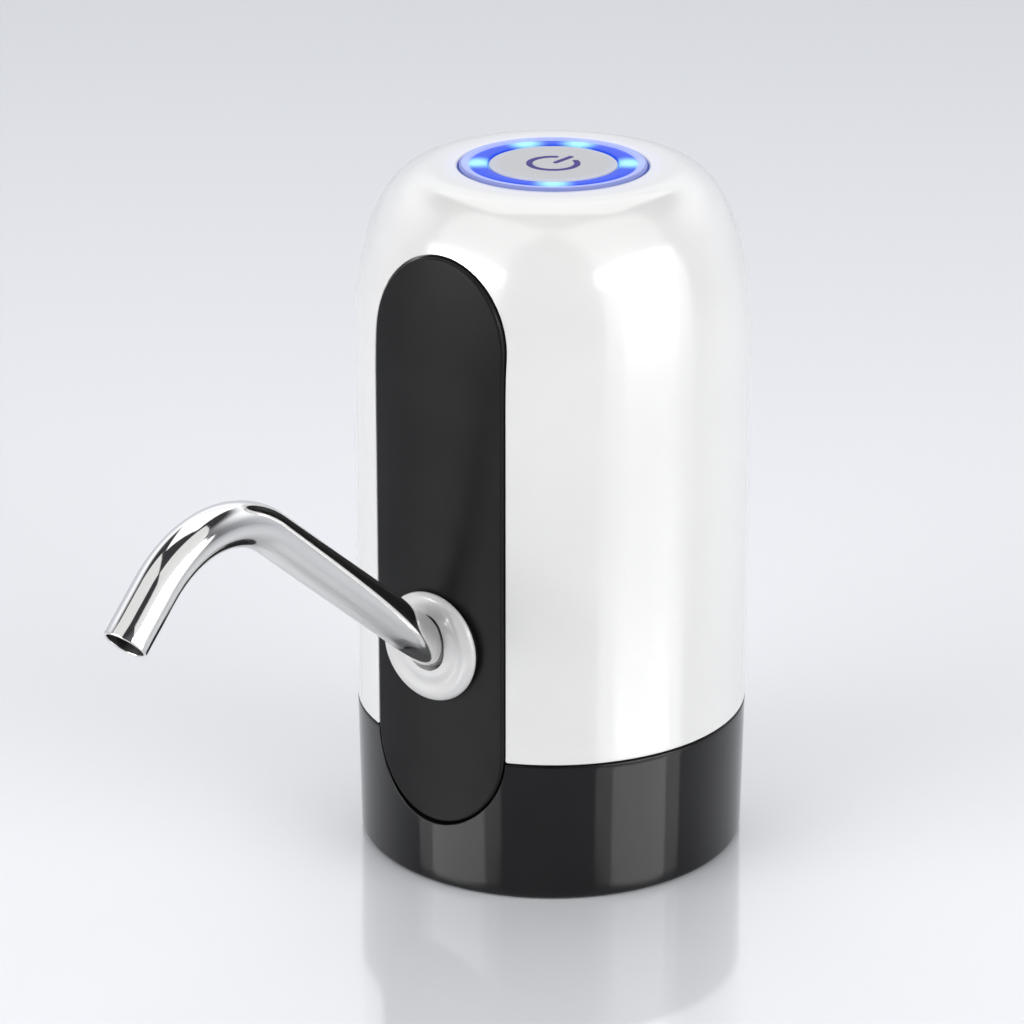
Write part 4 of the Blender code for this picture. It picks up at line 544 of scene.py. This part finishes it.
def capsule(margin, arc_steps=40, side_steps=44):
    """The panel's outline as (across, up), grown by a margin."""
    half, end, high, low = capsule_sizes(margin)
    points = []
    for centre, other, first in ((high, low, 0), (low, high, pi)):
        for step in range(arc_steps + 1):
            angle = first + pi * step / arc_steps
            points.append((half * cos(angle), centre + end * sin(angle)))
        side = half * cos(first + pi)
        for step in range(1, side_steps):
            points.append((side, centre + (other - centre) * step / side_steps))
    return points


def skin(rings, cap_first=True, cap_last=True):
    """Faces that join rings of equal length, with their two ends capped."""
    count = len(rings[0])
    vertices = [point for ring in rings for point in ring]
    faces = []
    for row in range(len(rings) - 1):
        for step in range(count):
            after = (step + 1) % count
            faces.append((row * count + step, row * count + after,
                          (row + 1) * count + after, (row + 1) * count + step))
    if cap_first:
        faces.append(tuple(range(count)))
    if cap_last:
        faces.append(tuple(range((len(rings) - 1) * count, len(rings) * count)))
    return vertices, faces


def panel_face(across, up):
    """How far out the panel's face is: a shallow crown that leans back under the dome."""
    crown = PANEL_CROWN_RADIUS - sqrt(PANEL_CROWN_RADIUS**2 - across**2)
    rise = max(0, up - DOME_START) / (BODY_HEIGHT - DOME_START)
    fall = (BODY_RADIUS - DOME_FLAT_RADIUS) * (1 - (1 - rise**DOME_POWER) ** (1 / DOME_POWER))
    return PANEL_FACE - crown - PANEL_LEAN_SHARE * fall


def panel_rows(margin, arc_steps=36, lean_steps=8, side_steps=24):
    """The panel's outline as (half width, up) rows from its top to its bottom."""
    half, end, high, low = capsule_sizes(margin)
    turns = [pi / 2 * step / arc_steps for step in range(arc_steps)]
    rows = [(half * sin(angle), high + end * cos(angle)) for angle in turns]
    rows += [(half, high + (DOME_START - high) * step / lean_steps) for step in range(lean_steps)]
    rows += [(half, DOME_START + (low - DOME_START) * step / side_steps) for step in range(side_steps + 1)]
    rows += [(half * sin(angle), low - end * cos(angle)) for angle in reversed(turns)]
    return rows


def corner_cutters():
    """Tools that round the shell's two lower corners beside the slot."""
    radius = SLOT_CORNER
    seam = SEAM_HEIGHT + HALF_SEAM
    side = PANEL_HALF_WIDTH + GAP - 0.05
    made = []
    for name, way in (("corner_right", 1), ("corner_left", -1)):
        outline = [(side - 0.5, seam - 0.5), (side + radius, seam - 0.5)]
        outline += [(side + radius + radius * cos(radians(270 - 15 * step)),
                     seam + radius + radius * sin(radians(270 - 15 * step))) for step in range(7)]
        outline += [(side - 0.5, seam + radius)]
        rings = [[(way * x, -depth, z) for x, z in outline] for depth in (26.0, 42.0)]
        vertices, faces = skin(rings)
        made.append(object_from(name, tidy(place_on_axis(mesh_from(name, vertices, faces)))))
    return made


def slot_cutter():
    """The panel's slot with a rounded lip that follows the curved housing."""
    edge = SLOT_LIP
    rings = [[(x, -PANEL_BACK + GAP, z) for x, z in capsule(GAP)]]
    # The lip's profile, as (margin round the panel, depth below the housing's surface)
    profile = [(GAP, 0.9)]
    for degrees in (0, 20, 40, 60, 76):
        angle = radians(degrees)
        profile.append((GAP + edge - edge * cos(angle), edge - edge * sin(angle)))
    for margin, depth in profile:
        rings.append([(x, depth - sqrt(body_radius_at(z) ** 2 - x**2), z) for x, z in capsule(margin)])
    margin = profile[-1][0] + 0.12
    rings.append([(x, -0.6 - sqrt(body_radius_at(z) ** 2 - x**2), z) for x, z in capsule(margin)])
    rings.append([(x, -BODY_RADIUS - 6.0, z) for x, z in capsule(margin)])
    vertices, faces = skin(rings)
    return object_from("slot_cutter", tidy(place_on_axis(mesh_from("slot_cutter", vertices, faces))))


def rounded_box(name, size, centre, corner, steps=6):
    """A box rounded in its X-Z outline, along Y."""
    half_x = size[0] / 2 - corner
    half_z = size[2] / 2 - corner
    outline = []
    for sx, sz, first in ((1, 1, 0), (-1, 1, 90), (-1, -1, 180), (1, -1, 270)):
        for step in range(steps + 1):
            angle = radians(first + 90 * step / steps)
            outline.append((sx * half_x + corner * cos(angle), sz * half_z + corner * sin(angle)))
    rings = [[(centre[0] + x, y, centre[2] + z) for x, z in outline]
             for y in (centre[1] - size[1] / 2, centre[1] + size[1] / 2)]
    vertices, faces = skin(rings)
    return mesh_from(name, vertices, faces)


def carve(made, tools, operation="DIFFERENCE"):
    """Apply exact Booleans and put the result in the object's own mesh."""
    for tool in tools:
        step = made.modifiers.new(tool.name, "BOOLEAN")
        step.object = tool
        step.operation = operation
        step.solver = "EXACT"
    bpy.context.view_layer.update()
    evaluated = made.evaluated_get(bpy.context.evaluated_depsgraph_get())
    result = bpy.data.meshes.new_from_object(evaluated)
    made.modifiers.clear()
    made.data = result
    for tool in tools:
        bpy.data.objects.remove(tool, do_unlink=True)


def exact_normals(made, outline, limit=0.03, spread=30.0):
    """Give the corners on a lathe's surface the true normals of its outline."""
    mesh = made.data
    tidy(mesh)
    points = np.array(outline, float)
    ends = np.roll(points, -1, axis=0)
    step = ends - points
    length = np.maximum(np.linalg.norm(step, axis=1), 1e-9)
    normal = np.stack([step[:, 1], -step[:, 0]], axis=1) / length[:, None]
    area = np.sum(points[:, 0] * ends[:, 1] - ends[:, 0] * points[:, 1])
    if area < 0:
        normal = -normal
    joint = np.empty((len(points), 2, 2))
    sharp = cos(radians(35.0))
    for index in range(len(points)):
        before = index - 1
        after = (index + 1) % len(points)
        first = normal[index]
        for side, other in ((0, before), (1, after)):
            near = normal[other]
            mixed = first + near if first @ near > sharp else first
            joint[index, side] = mixed / np.linalg.norm(mixed)
    count = len(mesh.loops)
    corner = np.empty(count * 3)
    mesh.corner_normals.foreach_get("vector", corner)
    corner = corner.reshape(-1, 3)
    places = np.empty(len(mesh.vertices) * 3)
    mesh.vertices.foreach_get("co", places)
    places = (places.reshape(-1, 3) - np.array(AXIS)) / MM
    owner = np.empty(count, int)
    mesh.loops.foreach_get("vertex_index", owner)
    for face in mesh.polygons:
        centre = (np.array(face.center) - np.array(AXIS)) / MM
        out = np.hypot(centre[0], centre[1])
        flat = np.array([out, centre[2]])
        along = np.clip(np.sum((flat - points) * step, axis=1) / length**2, 0, 1)
        gap = np.linalg.norm(points + along[:, None] * step - flat, axis=1)
        nearest = int(np.argmin(gap))
        if gap[nearest] > limit:
            continue
        facing = np.array(face.normal)
        radial = (facing[0] * centre[0] + facing[1] * centre[1]) / max(out, 1e-6)
        if np.array([radial, facing[2]]) @ normal[nearest] < cos(radians(spread)):
            continue
        for loop in face.loop_indices:
            place = places[owner[loop]]
            away = np.hypot(place[0], place[1])
            if away < 1e-6:
                continue
            share = np.clip(np.dot(np.array([away, place[2]]) - points[nearest], step[nearest])
                            / length[nearest] ** 2, 0, 1)
            true = joint[nearest, 0] * (1 - share) + joint[nearest, 1] * share
            true = true / np.linalg.norm(true)
            corner[loop] = (true[0] * place[0] / away, true[0] * place[1] / away, true[1])
    mesh.normals_split_custom_set([tuple(vector) for vector in corner])


def make_shell():
    """White housing with its dome, the ring's hole, the panel's slot and the charging window."""
    lip = RING_HOLE_LIP
    outline = arc(RING_HOLE_RADIUS + lip, BODY_HEIGHT - lip, lip, 180, 90, 6)
    outline += [(19.0, BODY_HEIGHT), (20.4, BODY_HEIGHT)]
    outline += dome_outline(BODY_RADIUS, BODY_HEIGHT)
    outline += [(BODY_RADIUS, z) for z in (80.0, 60.0, 45.0, 35.0, 29.0, 28.0)]
    seam = SEAM_HEIGHT + HALF_SEAM
    outline += arc(BODY_RADIUS - SHELL_EDGE, seam + SHELL_EDGE, SHELL_EDGE, 0, -90, 5)
    bore = BODY_RADIUS - SHELL_WALL
    ceiling = BODY_HEIGHT - SHELL_WALL
    outline += [(bore, seam)]
    outline += reversed(dome_outline(bore, ceiling, 20))
    outline += [(RING_HOLE_RADIUS, ceiling)]
    mesh = place_on_axis(lathe_mesh("shell_skin", outline))
    shell = object_from("shell_skin", tidy(mesh), white_gloss())
    window = place_on_axis(rounded_box("usb_window", USB_WINDOW, (0, BODY_RADIUS, USB_HEIGHT), USB_CORNER))
    carve(shell, [slot_cutter(), *corner_cutters(), object_from("usb_window", tidy(window))])
    exact_normals(shell, outline)
    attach(shell, "housing")
    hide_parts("shell")


def make_base():
    """Black foot with its sleeve round the bottle's neck and four screw wells."""
    foot = BODY_RADIUS - BASE_DRAFT
    top = SEAM_HEIGHT - HALF_SEAM
    bore = BODY_RADIUS - SHELL_WALL
    sleeve = NECK_BORE_RADIUS + NECK_WALL
    inner_top = RECESS_HEIGHT - GAP
    outline = arc(BODY_RADIUS - BASE_TOP_EDGE, top - BASE_TOP_EDGE, BASE_TOP_EDGE, 90, 0, 6)
    outline += [(BODY_RADIUS - 0.02, 25.5), (BODY_RADIUS - BASE_DRAFT * 0.5, 13.5), (foot + 0.04, 3.0)]
    outline += arc(foot - BASE_FILLET, BASE_FILLET, BASE_FILLET, 0, -90, 10)
    outline += [(33.0, 0), (30.5, 0)]
    outline += arc(NECK_BORE_RADIUS + NECK_BORE_EDGE, NECK_BORE_EDGE, NECK_BORE_EDGE, -90, -180, 6)
    outline += [(NECK_BORE_RADIUS, inner_top), (sleeve, inner_top), (sleeve, BASE_FLOOR),
                (bore, BASE_FLOOR), (bore, top)]
    mesh = place_on_axis(lathe_mesh("base_skin", outline))
    base = object_from("base_skin", tidy(mesh), black_gloss())
    wells = []
    for index in range(4):
        angle = pi / 4 + index * pi / 2
        place = Vector((WELL_PLACE_RADIUS * cos(angle), WELL_PLACE_RADIUS * sin(angle), 0)) * MM
        well = plug("well", WELL_RADIUS, -2.0, WELL_TOP, 32)
        well.transform(Matrix.Translation(place))
        wells.append(object_from(f"well_{index + 1}", tidy(place_on_axis(well))))
    carve(base, [slot_cutter(), *wells])
    exact_normals(base, outline)
    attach(base, "housing")
    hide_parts("base_ring")


def crown_normals(panel):
    """Give the corners on the panel's face the true normals of its crown."""
    mesh = panel.data
    tidy(mesh, 30.0)
    normals = [Vector(corner.vector) for corner in mesh.corner_normals]
    small = 0.01
    for face in mesh.polygons:
        for loop in face.loop_indices:
            place = (mesh.vertices[mesh.loops[loop].vertex_index].co - AXIS) / MM
            if abs(place.x) > PANEL_HALF_WIDTH or abs(place.y + panel_face(place.x, place.z)) > 0.005:
                continue
            across = panel_face(place.x + small, place.z) - panel_face(place.x - small, place.z)
            upwards = panel_face(place.x, place.z + small) - panel_face(place.x, place.z - small)
            true = Vector((-across, -2 * small, -upwards)).normalized()
            if true.dot(face.normal) > 0.95:
                normals[loop] = true
    mesh.normals_split_custom_set([tuple(vector) for vector in normals])


def make_panel():
    """A crowned capsule plate with a rounded rim, and the collar's land and hole."""
    columns = 24
    places = []
    faces = []
    grid = []
    for half, up in panel_rows(-PANEL_EDGE):
        shares = [2 * step / columns - 1 for step in range(columns + 1)] if half > 1e-6 else [0]
        row = []
        for share in shares:
            row.append(len(places))
            places.append((half * share, -panel_face(half * share, up), up))
        grid.append(row)
    for upper, lower in zip(grid, grid[1:]):
        for step in range(columns):
            corners = [upper[min(step, len(upper) - 1)], lower[min(step, len(lower) - 1)],
                       lower[min(step + 1, len(lower) - 1)], upper[min(step + 1, len(upper) - 1)]]
            faces.append(list(dict.fromkeys(corners)))
    rings = []
    for degrees in (90, 75, 60, 45, 30, 15, 0, -90):
        angle = radians(degrees)
        rows = panel_rows(PANEL_EDGE * cos(angle) - PANEL_EDGE if degrees >= 0 else 0)
        outline = [(-half, up) for half, up in rows] + [(half, up) for half, up in reversed(rows[1:-1])]
        ring = []
        for x, z in outline:
            depth = panel_face(x, z) - PANEL_EDGE + PANEL_EDGE * sin(angle) if degrees >= 0 else PANEL_BACK
            ring.append((x, -depth, z))
        rings.append(ring)
    rim, rim_faces = skin(rings, cap_first=False)
    faces += [[index + len(places) for index in face] for face in rim_faces]
    mesh = place_on_axis(mesh_from("panel_skin", places + rim, faces))
    panel = object_from("panel_skin", tidy(mesh), panel_gloss())
    outline = [(0, PANEL_FACE)]
    outline += arc(LAND_RADIUS - LAND_ROUND, PANEL_FACE - LAND_ROUND, LAND_ROUND, 90, 0, 4)
    outline += [(LAND_RADIUS, LAND_BACK), (0, LAND_BACK)]
    land = lathe_mesh("collar_land", outline, 96, closed=False)
    hole = plug("collar_hole", COLLAR_HOLE_RADIUS, 25.0, 45.0)
    carve(panel, [object_from("collar_land", tidy(place_on_front(land)))], "UNION")
    carve(panel, [object_from("collar_hole", tidy(place_on_front(hole)))])
    crown_normals(panel)
    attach(panel, "housing")
    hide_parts("front_panel")


def make_collar():
    """Round boss with a rolled flange, a dished face and an oval mouth that the tube leaves by."""
    face = PANEL_FACE + GAP
    stem = COLLAR_STEM_RADIUS
    roll_out, roll_up = COLLAR_ROLL
    wide, high = COLLAR_ROLL_HALVES
    outline = [(MOUTH_RADIUS, COLLAR_BACK), (MOUTH_RADIUS, 37.99), (4.9, 38.0), (5.3, 37.99)]
    outline += [(5.6, 37.95), (6.0, 37.86), (6.4, 37.73), (6.8, 37.64), (7.2, 37.62), (7.6, 37.68),
                (8.0, 37.77)]
    for step in range(15):
        angle = pi / 2 * (1 - step / 14)
        outline.append((roll_out + wide * cos(angle), roll_up + high * sin(angle)))
    outline += [(10.27, 36.35), (10.15, 36.12), (9.95, face), (stem, face)]
    outline += [(stem, COLLAR_STEM_FACE), (9.3, COLLAR_STEM_FACE), (9.4, 32.9), (7.7, 31.9),
                (7.5, COLLAR_BACK)]
    mesh = place_on_front(lathe_mesh("collar_skin", outline, 160))
    collar = object_from("collar_skin", tidy(mesh, 40.0), collar_gloss())
    way_out = plug("way_out", MOUTH_RADIUS, 0.0, 14.0)
    way_out.transform(Matrix.Rotation(pi / 2 - SPOUT_RISE, 4, "X"))
    way_out.transform(Matrix.Translation(AXIS + Vector((0, -SPOUT_CORNER, SPOUT_HEIGHT)) * MM))
    carve(collar, [object_from("way_out", tidy(way_out))])
    tidy(collar.data, 40.0)
    even_normals(collar)
    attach(collar, "collar")
    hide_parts("spout_collar")


def spout_path():
    """Centreline of the spout as (outwards, up, slope) from its stub to its tip."""
    tangent = SPOUT_FIRST_BEND * sin(SPOUT_RISE) / (1 + cos(SPOUT_RISE))
    start = SPOUT_CORNER - tangent
    path = [(out, 0, 0) for out in (TUBE_INNER_END, 28.0, 32.0)]
    for step in range(17):
        angle = SPOUT_RISE * step / 16
        path.append((start + SPOUT_FIRST_BEND * sin(angle), SPOUT_FIRST_BEND * (1 - cos(angle)), angle))
    out, up, _ = path[-1]
    for step in range(1, 13):
        reach = SPOUT_STRAIGHT * step / 12
        path.append((out + reach * cos(SPOUT_RISE), up + reach * sin(SPOUT_RISE), SPOUT_RISE))
    out, up, _ = path[-1]
    centre_out = out + SPOUT_SECOND_BEND * sin(SPOUT_RISE)
    centre_up = up - SPOUT_SECOND_BEND * cos(SPOUT_RISE)
    for step in range(1, 41):
        angle = SPOUT_RISE - (SPOUT_RISE + SPOUT_FALL) * step / 40
        path.append((centre_out - SPOUT_SECOND_BEND * sin(angle),
                     centre_up + SPOUT_SECOND_BEND * cos(angle), angle))
    out, up, _ = path[-1]
    for step in range(1, 5):
        reach = SPOUT_TIP * step / 4
        path.append((out + reach * cos(SPOUT_FALL), up - reach * sin(SPOUT_FALL), -SPOUT_FALL))
    return path


def make_spout():
    """Bent tube with a rounded cut end and a bore painted dark as shade."""
    path = spout_path()
    steps = 72

    def hoop(place, radius, back=0.0):
        """A ring of points square to the tube, set back along it."""
        out, up, slope = place
        out -= back * cos(slope)
        up -= back * sin(slope)
        points = []
        for step in range(steps):
            angle = 2 * pi * step / steps
            across = radius * cos(angle)
            high = radius * sin(angle)
            points.append((across, -(out - high * sin(slope)), SPOUT_HEIGHT + up + high * cos(slope)))
        return points

    inner = TUBE_RADIUS - TUBE_WALL
    middle = (TUBE_RADIUS + inner) / 2
    half = TUBE_WALL / 2
    rings = [hoop(place, TUBE_RADIUS) for place in path[:-1]]
    for degrees in (0, 25, 50, 75, 90, 105, 130, 155, 180):
        angle = radians(degrees)
        rings.append(hoop(path[-1], middle + half * cos(angle), TUBE_LIP * (1 - sin(angle))))
    rings += [hoop(place, inner) for place in reversed(path[:-1])]
    count = len(rings)
    vertices, faces = skin(rings, False, False)
    for step in range(steps):
        after = (step + 1) % steps
        faces.append(((count - 1) * steps + step, (count - 1) * steps + after, after, step))
    mesh = place_on_axis(mesh_from("spout_skin", vertices, faces))
    spout = object_from("spout_skin", tidy(mesh, 50.0), polished_steel())
    # The bore's material paints the tube's inner shade as near-black steel
    mesh.materials.append(painted_shade_bore())
    bore_start = (len(path) + 7) * steps
    for face in mesh.polygons:
        face.material_index = int(face.index >= bore_start)
    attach(spout, "spout_tube")
    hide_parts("spout")


def make_ring():
    """Light ring with a shallow dish, a groove and a clear outer lip."""
    edge = RING_EDGE
    outline = [(RING_BORE_RADIUS, RING_BOTTOM), (RING_BORE_RADIUS, 129.3)]
    outline += arc(RING_BORE_RADIUS + edge, 129.35, edge, 180, 90, 5)
    outline += [(13.0, 129.74), (13.9, 129.76), (14.8, 129.72), (15.15, 129.62), (15.3, 129.58),
                (15.45, 129.68), (15.6, 129.84), (15.8, RING_TOP), (16.2, RING_TOP)]
    outline += arc(RING_RADIUS - edge, RING_TOP - edge, edge, 90, 0, 5)
    outline += [(RING_RADIUS, RING_FLANGE_TOP), (RING_FLANGE_RADIUS, RING_FLANGE_TOP),
                (RING_FLANGE_RADIUS, RING_BOTTOM)]
    mesh = place_on_axis(lathe_mesh("ring_skin", outline, 200))
    ring = object_from("ring_skin", tidy(mesh, 50.0), lit_ring_look())
    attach(ring, "housing")
    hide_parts("light_ring")


def make_button():
    """Push button with a slightly dished top, hollow from below."""
    radius = RING_BORE_RADIUS - GAP
    flange = 12.5
    inner = radius - 1.5
    edge = BUTTON_EDGE
    outline = [(0, BUTTON_TOP - 0.06), (4.0, BUTTON_TOP - 0.055), (8.0, BUTTON_TOP - 0.03),
               (10.6, BUTTON_TOP)]
    outline += arc(radius - edge, BUTTON_TOP - edge, edge, 90, 0, 6)
    outline += [(radius, BUTTON_SKIRT_TOP), (flange, BUTTON_SKIRT_TOP), (flange, BUTTON_FOOT),
                (inner, BUTTON_FOOT), (inner, BUTTON_CEILING), (0, BUTTON_CEILING)]
    mesh = place_on_axis(lathe_mesh("button_skin", outline, 160, closed=False))
    button = object_from("button_skin", tidy(mesh, 40.0), button_satin())
    even_normals(button)
    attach(button, "button")
    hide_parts("power_button")


def ribbon(points, width):
    """A flat strip with round ends along points, as a thin solid on the button."""
    left = []
    right = []
    half = width / 2
    for index, point in enumerate(points):
        before = points[max(index - 1, 0)]
        after = points[min(index + 1, len(points) - 1)]
        along = (after - before).normalized()
        side = Vector((-along.y, along.x))
        left.append(point + side * half)
        right.append(point - side * half)
    first = (points[0] - points[1]).normalized()
    last = (points[-1] - points[-2]).normalized()

    def round_end(centre, along, from_side):
        start = Vector((-along.y, along.x)) * from_side
        made = []
        for step in range(1, 10):
            angle = -from_side * pi * step / 10
            made.append(centre + half * Vector((start.x * cos(angle) - start.y * sin(angle),
                                                start.x * sin(angle) + start.y * cos(angle))))
        return made

    outline = left + round_end(points[-1], last, 1) + right[::-1] + round_end(points[0], first, 1)
    lower = [(point.x, point.y, SIGN_BOTTOM) for point in outline]
    upper = [(point.x, point.y, SIGN_TOP) for point in outline]
    count = len(outline)
    vertices = lower + upper
    faces = [(step, (step + 1) % count, count + (step + 1) % count, count + step) for step in range(count)]
    faces.append(tuple(range(count)))
    faces.append(tuple(range(count, 2 * count)))
    return vertices, faces


def make_symbol():
    """A plain standby sign, printed on the button."""
    facing = radians(SIGN_FACING)
    opening = radians(SIGN_HALF_OPENING)
    loop = []
    for step in range(73):
        angle = facing + opening + (2 * pi - 2 * opening) * step / 72
        loop.append(Vector((SIGN_RADIUS * cos(angle), SIGN_RADIUS * sin(angle))))
    along = Vector((cos(facing), sin(facing)))
    bar = [along * (SIGN_BAR_START + SIGN_BAR_LENGTH * step / 8) for step in range(9)]
    shape = bmesh.new()
    for points, width in ((loop, SIGN_WIDTH), (bar, SIGN_BAR_WIDTH)):
        vertices, faces = ribbon(points, width)
        made = [shape.verts.new(Vector(vertex) * MM) for vertex in vertices]
        for face in faces:
            shape.faces.new([made[index] for index in face])
    bmesh.ops.triangulate(shape, faces=[face for face in shape.faces if len(face.verts) > 4])
    mesh = bpy.data.meshes.new("button_symbol")
    shape.to_mesh(mesh)
    shape.free()
    place_on_axis(mesh)
    symbol = object_from("button_symbol", tidy(mesh, 30.0, 0.0001), symbol_ink())
    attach(symbol, "button")


def dress_inner_pieces():
    """Materials of the works inside, by the record's slots."""
    plastics = {
        "inner_plastic": ("inner_moulding", (0.70, 0.70, 0.68), (0.74, 0.74, 0.72), 0.45, 0.06,
                          800.0, 0.006),
        "dark_plastic": ("dark_moulding", (0.022, 0.022, 0.023), (0.032, 0.032, 0.033), 0.5, 0.06,
                         800.0, 0.008),
        "silicone": ("milky_silicone", (0.70, 0.73, 0.72), (0.76, 0.78, 0.77), 0.38, 0.05, 400.0, 0.004),
        "black_rubber": ("black_rubber", (0.016, 0.016, 0.016), (0.024, 0.024, 0.024), 0.62, 0.06,
                         900.0, 0.006),
        "battery_wrap": ("battery_wrap", (0.04, 0.17, 0.46), (0.05, 0.2, 0.52), 0.33, 0.04, 500.0, 0.004),
        "board_green": ("board_green", (0.015, 0.14, 0.05), (0.025, 0.18, 0.07), 0.4, 0.05,
                        1500.0, 0.006, 300.0),
        "led_lens": ("led_lens", (0.62, 0.85, 0.98), (0.68, 0.9, 1.0), 0.18, 0.03, 900.0, 0.002),
        "red_wire": ("red_wire", (0.55, 0.02, 0.02), (0.62, 0.03, 0.03), 0.4, 0.04, 900.0, 0.004),
        "black_wire": ("black_wire", (0.018, 0.018, 0.018), (0.026, 0.026, 0.026), 0.4, 0.04, 900.0, 0.004),
        "white_wire": ("white_wire", (0.76, 0.76, 0.74), (0.82, 0.82, 0.8), 0.4, 0.04, 900.0, 0.004),
    }
    metals = {
        "plated_steel": ("plated_steel", (0.55, 0.55, 0.53), (0.64, 0.64, 0.62), 0.3, (1.0, 1.0, 0.15),
                         900.0),
        "copper": ("copper_winding", (0.62, 0.26, 0.12), (0.78, 0.40, 0.22), 0.35, (1.0, 1.0, 6.0),
                   900.0, 0.02),
    }
    looks = {slot: moulded(*values).material for slot, values in plastics.items()}
    looks |= {slot: brushed(*values).material for slot, values in metals.items()}
    slots = {piece["node"]: piece["material_slot"] for piece in frame["record"]["subparts"]}
    for name, node in frame["nodes"].items():
        look = looks.get(slots[name])
        if look is None:
            continue
        for holder in node.material_slots:
            holder.material = look


# Setting


def towards(turn, lift, reach):
    """A place round the object, turned from the camera's side, in metres."""
    angle = radians(CAMERA_TURN + turn)
    out = Vector((sin(angle) * cos(radians(lift)), -cos(angle) * cos(radians(lift)), sin(radians(lift))))
    return AIM + out * reach


def softbox(name, turn, lift, reach, width, height, power):
    """A white rectangular lamp that faces the aim."""
    light = bpy.data.lights.new(name, "AREA")
    light.shape = "RECTANGLE"
    light.size = width
    light.size_y = height
    light.energy = power
    made = bpy.data.objects.new(name, light)
    bpy.context.scene.collection.objects.link(made)
    made.location = towards(turn, lift, reach)
    made.rotation_euler = (AIM - made.location).to_track_quat("-Z", "Y").to_euler()


def make_setting():
    """Plain pale floor, a sky that is bright only behind the object, and the lamps."""
    corners = [(x * FLOOR_HALF, y * FLOOR_HALF, 0) for x, y in ((-1, -1), (1, -1), (1, 1), (-1, 1))]
    pale = Look("pale_floor")
    patches = pale.noise(3.0, 2.0)
    pale.set(Base_Color=pale.blend(patches, (0.68, 0.693, 0.72), (0.70, 0.713, 0.74)),
             Roughness=0.1, IOR=1.75, Coat_Weight=0.6, Coat_Roughness=0.07)
    floor = object_from("floor", mesh_from("floor", corners, [(0, 1, 2, 3)]), pale.material)

    world = bpy.data.worlds.new("studio")
    bpy.context.scene.world = world
    sky = Nodes(world, "Background", "Generated")
    split = sky.add("ShaderNodeSeparateXYZ")
    sky.link(sky.place, split.inputs[0])
    backwards = (-sin(radians(CAMERA_TURN)), cos(radians(CAMERA_TURN)), 0)
    behind = sky.vectors("DOT_PRODUCT", sky.place, backwards)["Value"]

    def rising(value, limits):
        return sky.spread(value, *limits, 0.0, 1.0, smooth=True)

    back = sky.blend(rising(split.outputs[2], BACK_RISE), (0.72, 0.74, 0.80), (1.3, 1.32, 1.36))
    around = sky.blend(rising(behind, BACK_LOBE), (0.13, 0.13, 0.14), back)
    sky.set(Color=sky.blend(rising(split.outputs[2], TOP_RISE), around, (0.05, 0.05, 0.055)))

    for lamp in LAMPS:
        softbox(*lamp)


def make_camera():
    """The fitted camera, which looks down at the object from its front right."""
    turn = radians(CAMERA_TURN)
    yaw = radians(CAMERA_YAW)
    dip = radians(CAMERA_DIP)
    forward = Vector((sin(yaw) * cos(dip), cos(yaw) * cos(dip), -sin(dip)))
    forward = Matrix.Rotation(turn, 3, "Z") @ forward
    camera = bpy.data.cameras.new("camera")
    camera.lens = LENS
    camera.sensor_width = SENSOR_WIDTH
    camera.clip_start = 0.05
    camera.clip_end = 50.0
    made = bpy.data.objects.new("camera", camera)
    bpy.context.scene.collection.objects.link(made)
    made.location = AXIS + Vector((CAMERA_REACH * sin(turn), -CAMERA_REACH * cos(turn), CAMERA_HEIGHT)) * MM
    made.rotation_euler = forward.to_track_quat("-Z", "Y").to_euler()
    bpy.context.scene.camera = made


make_camera()
make_shell()
make_base()
make_panel()
make_collar()
make_spout()
make_ring()
make_button()
make_symbol()
dress_inner_pieces()
make_setting()
bpy.context.scene.view_settings.view_transform = "Standard"
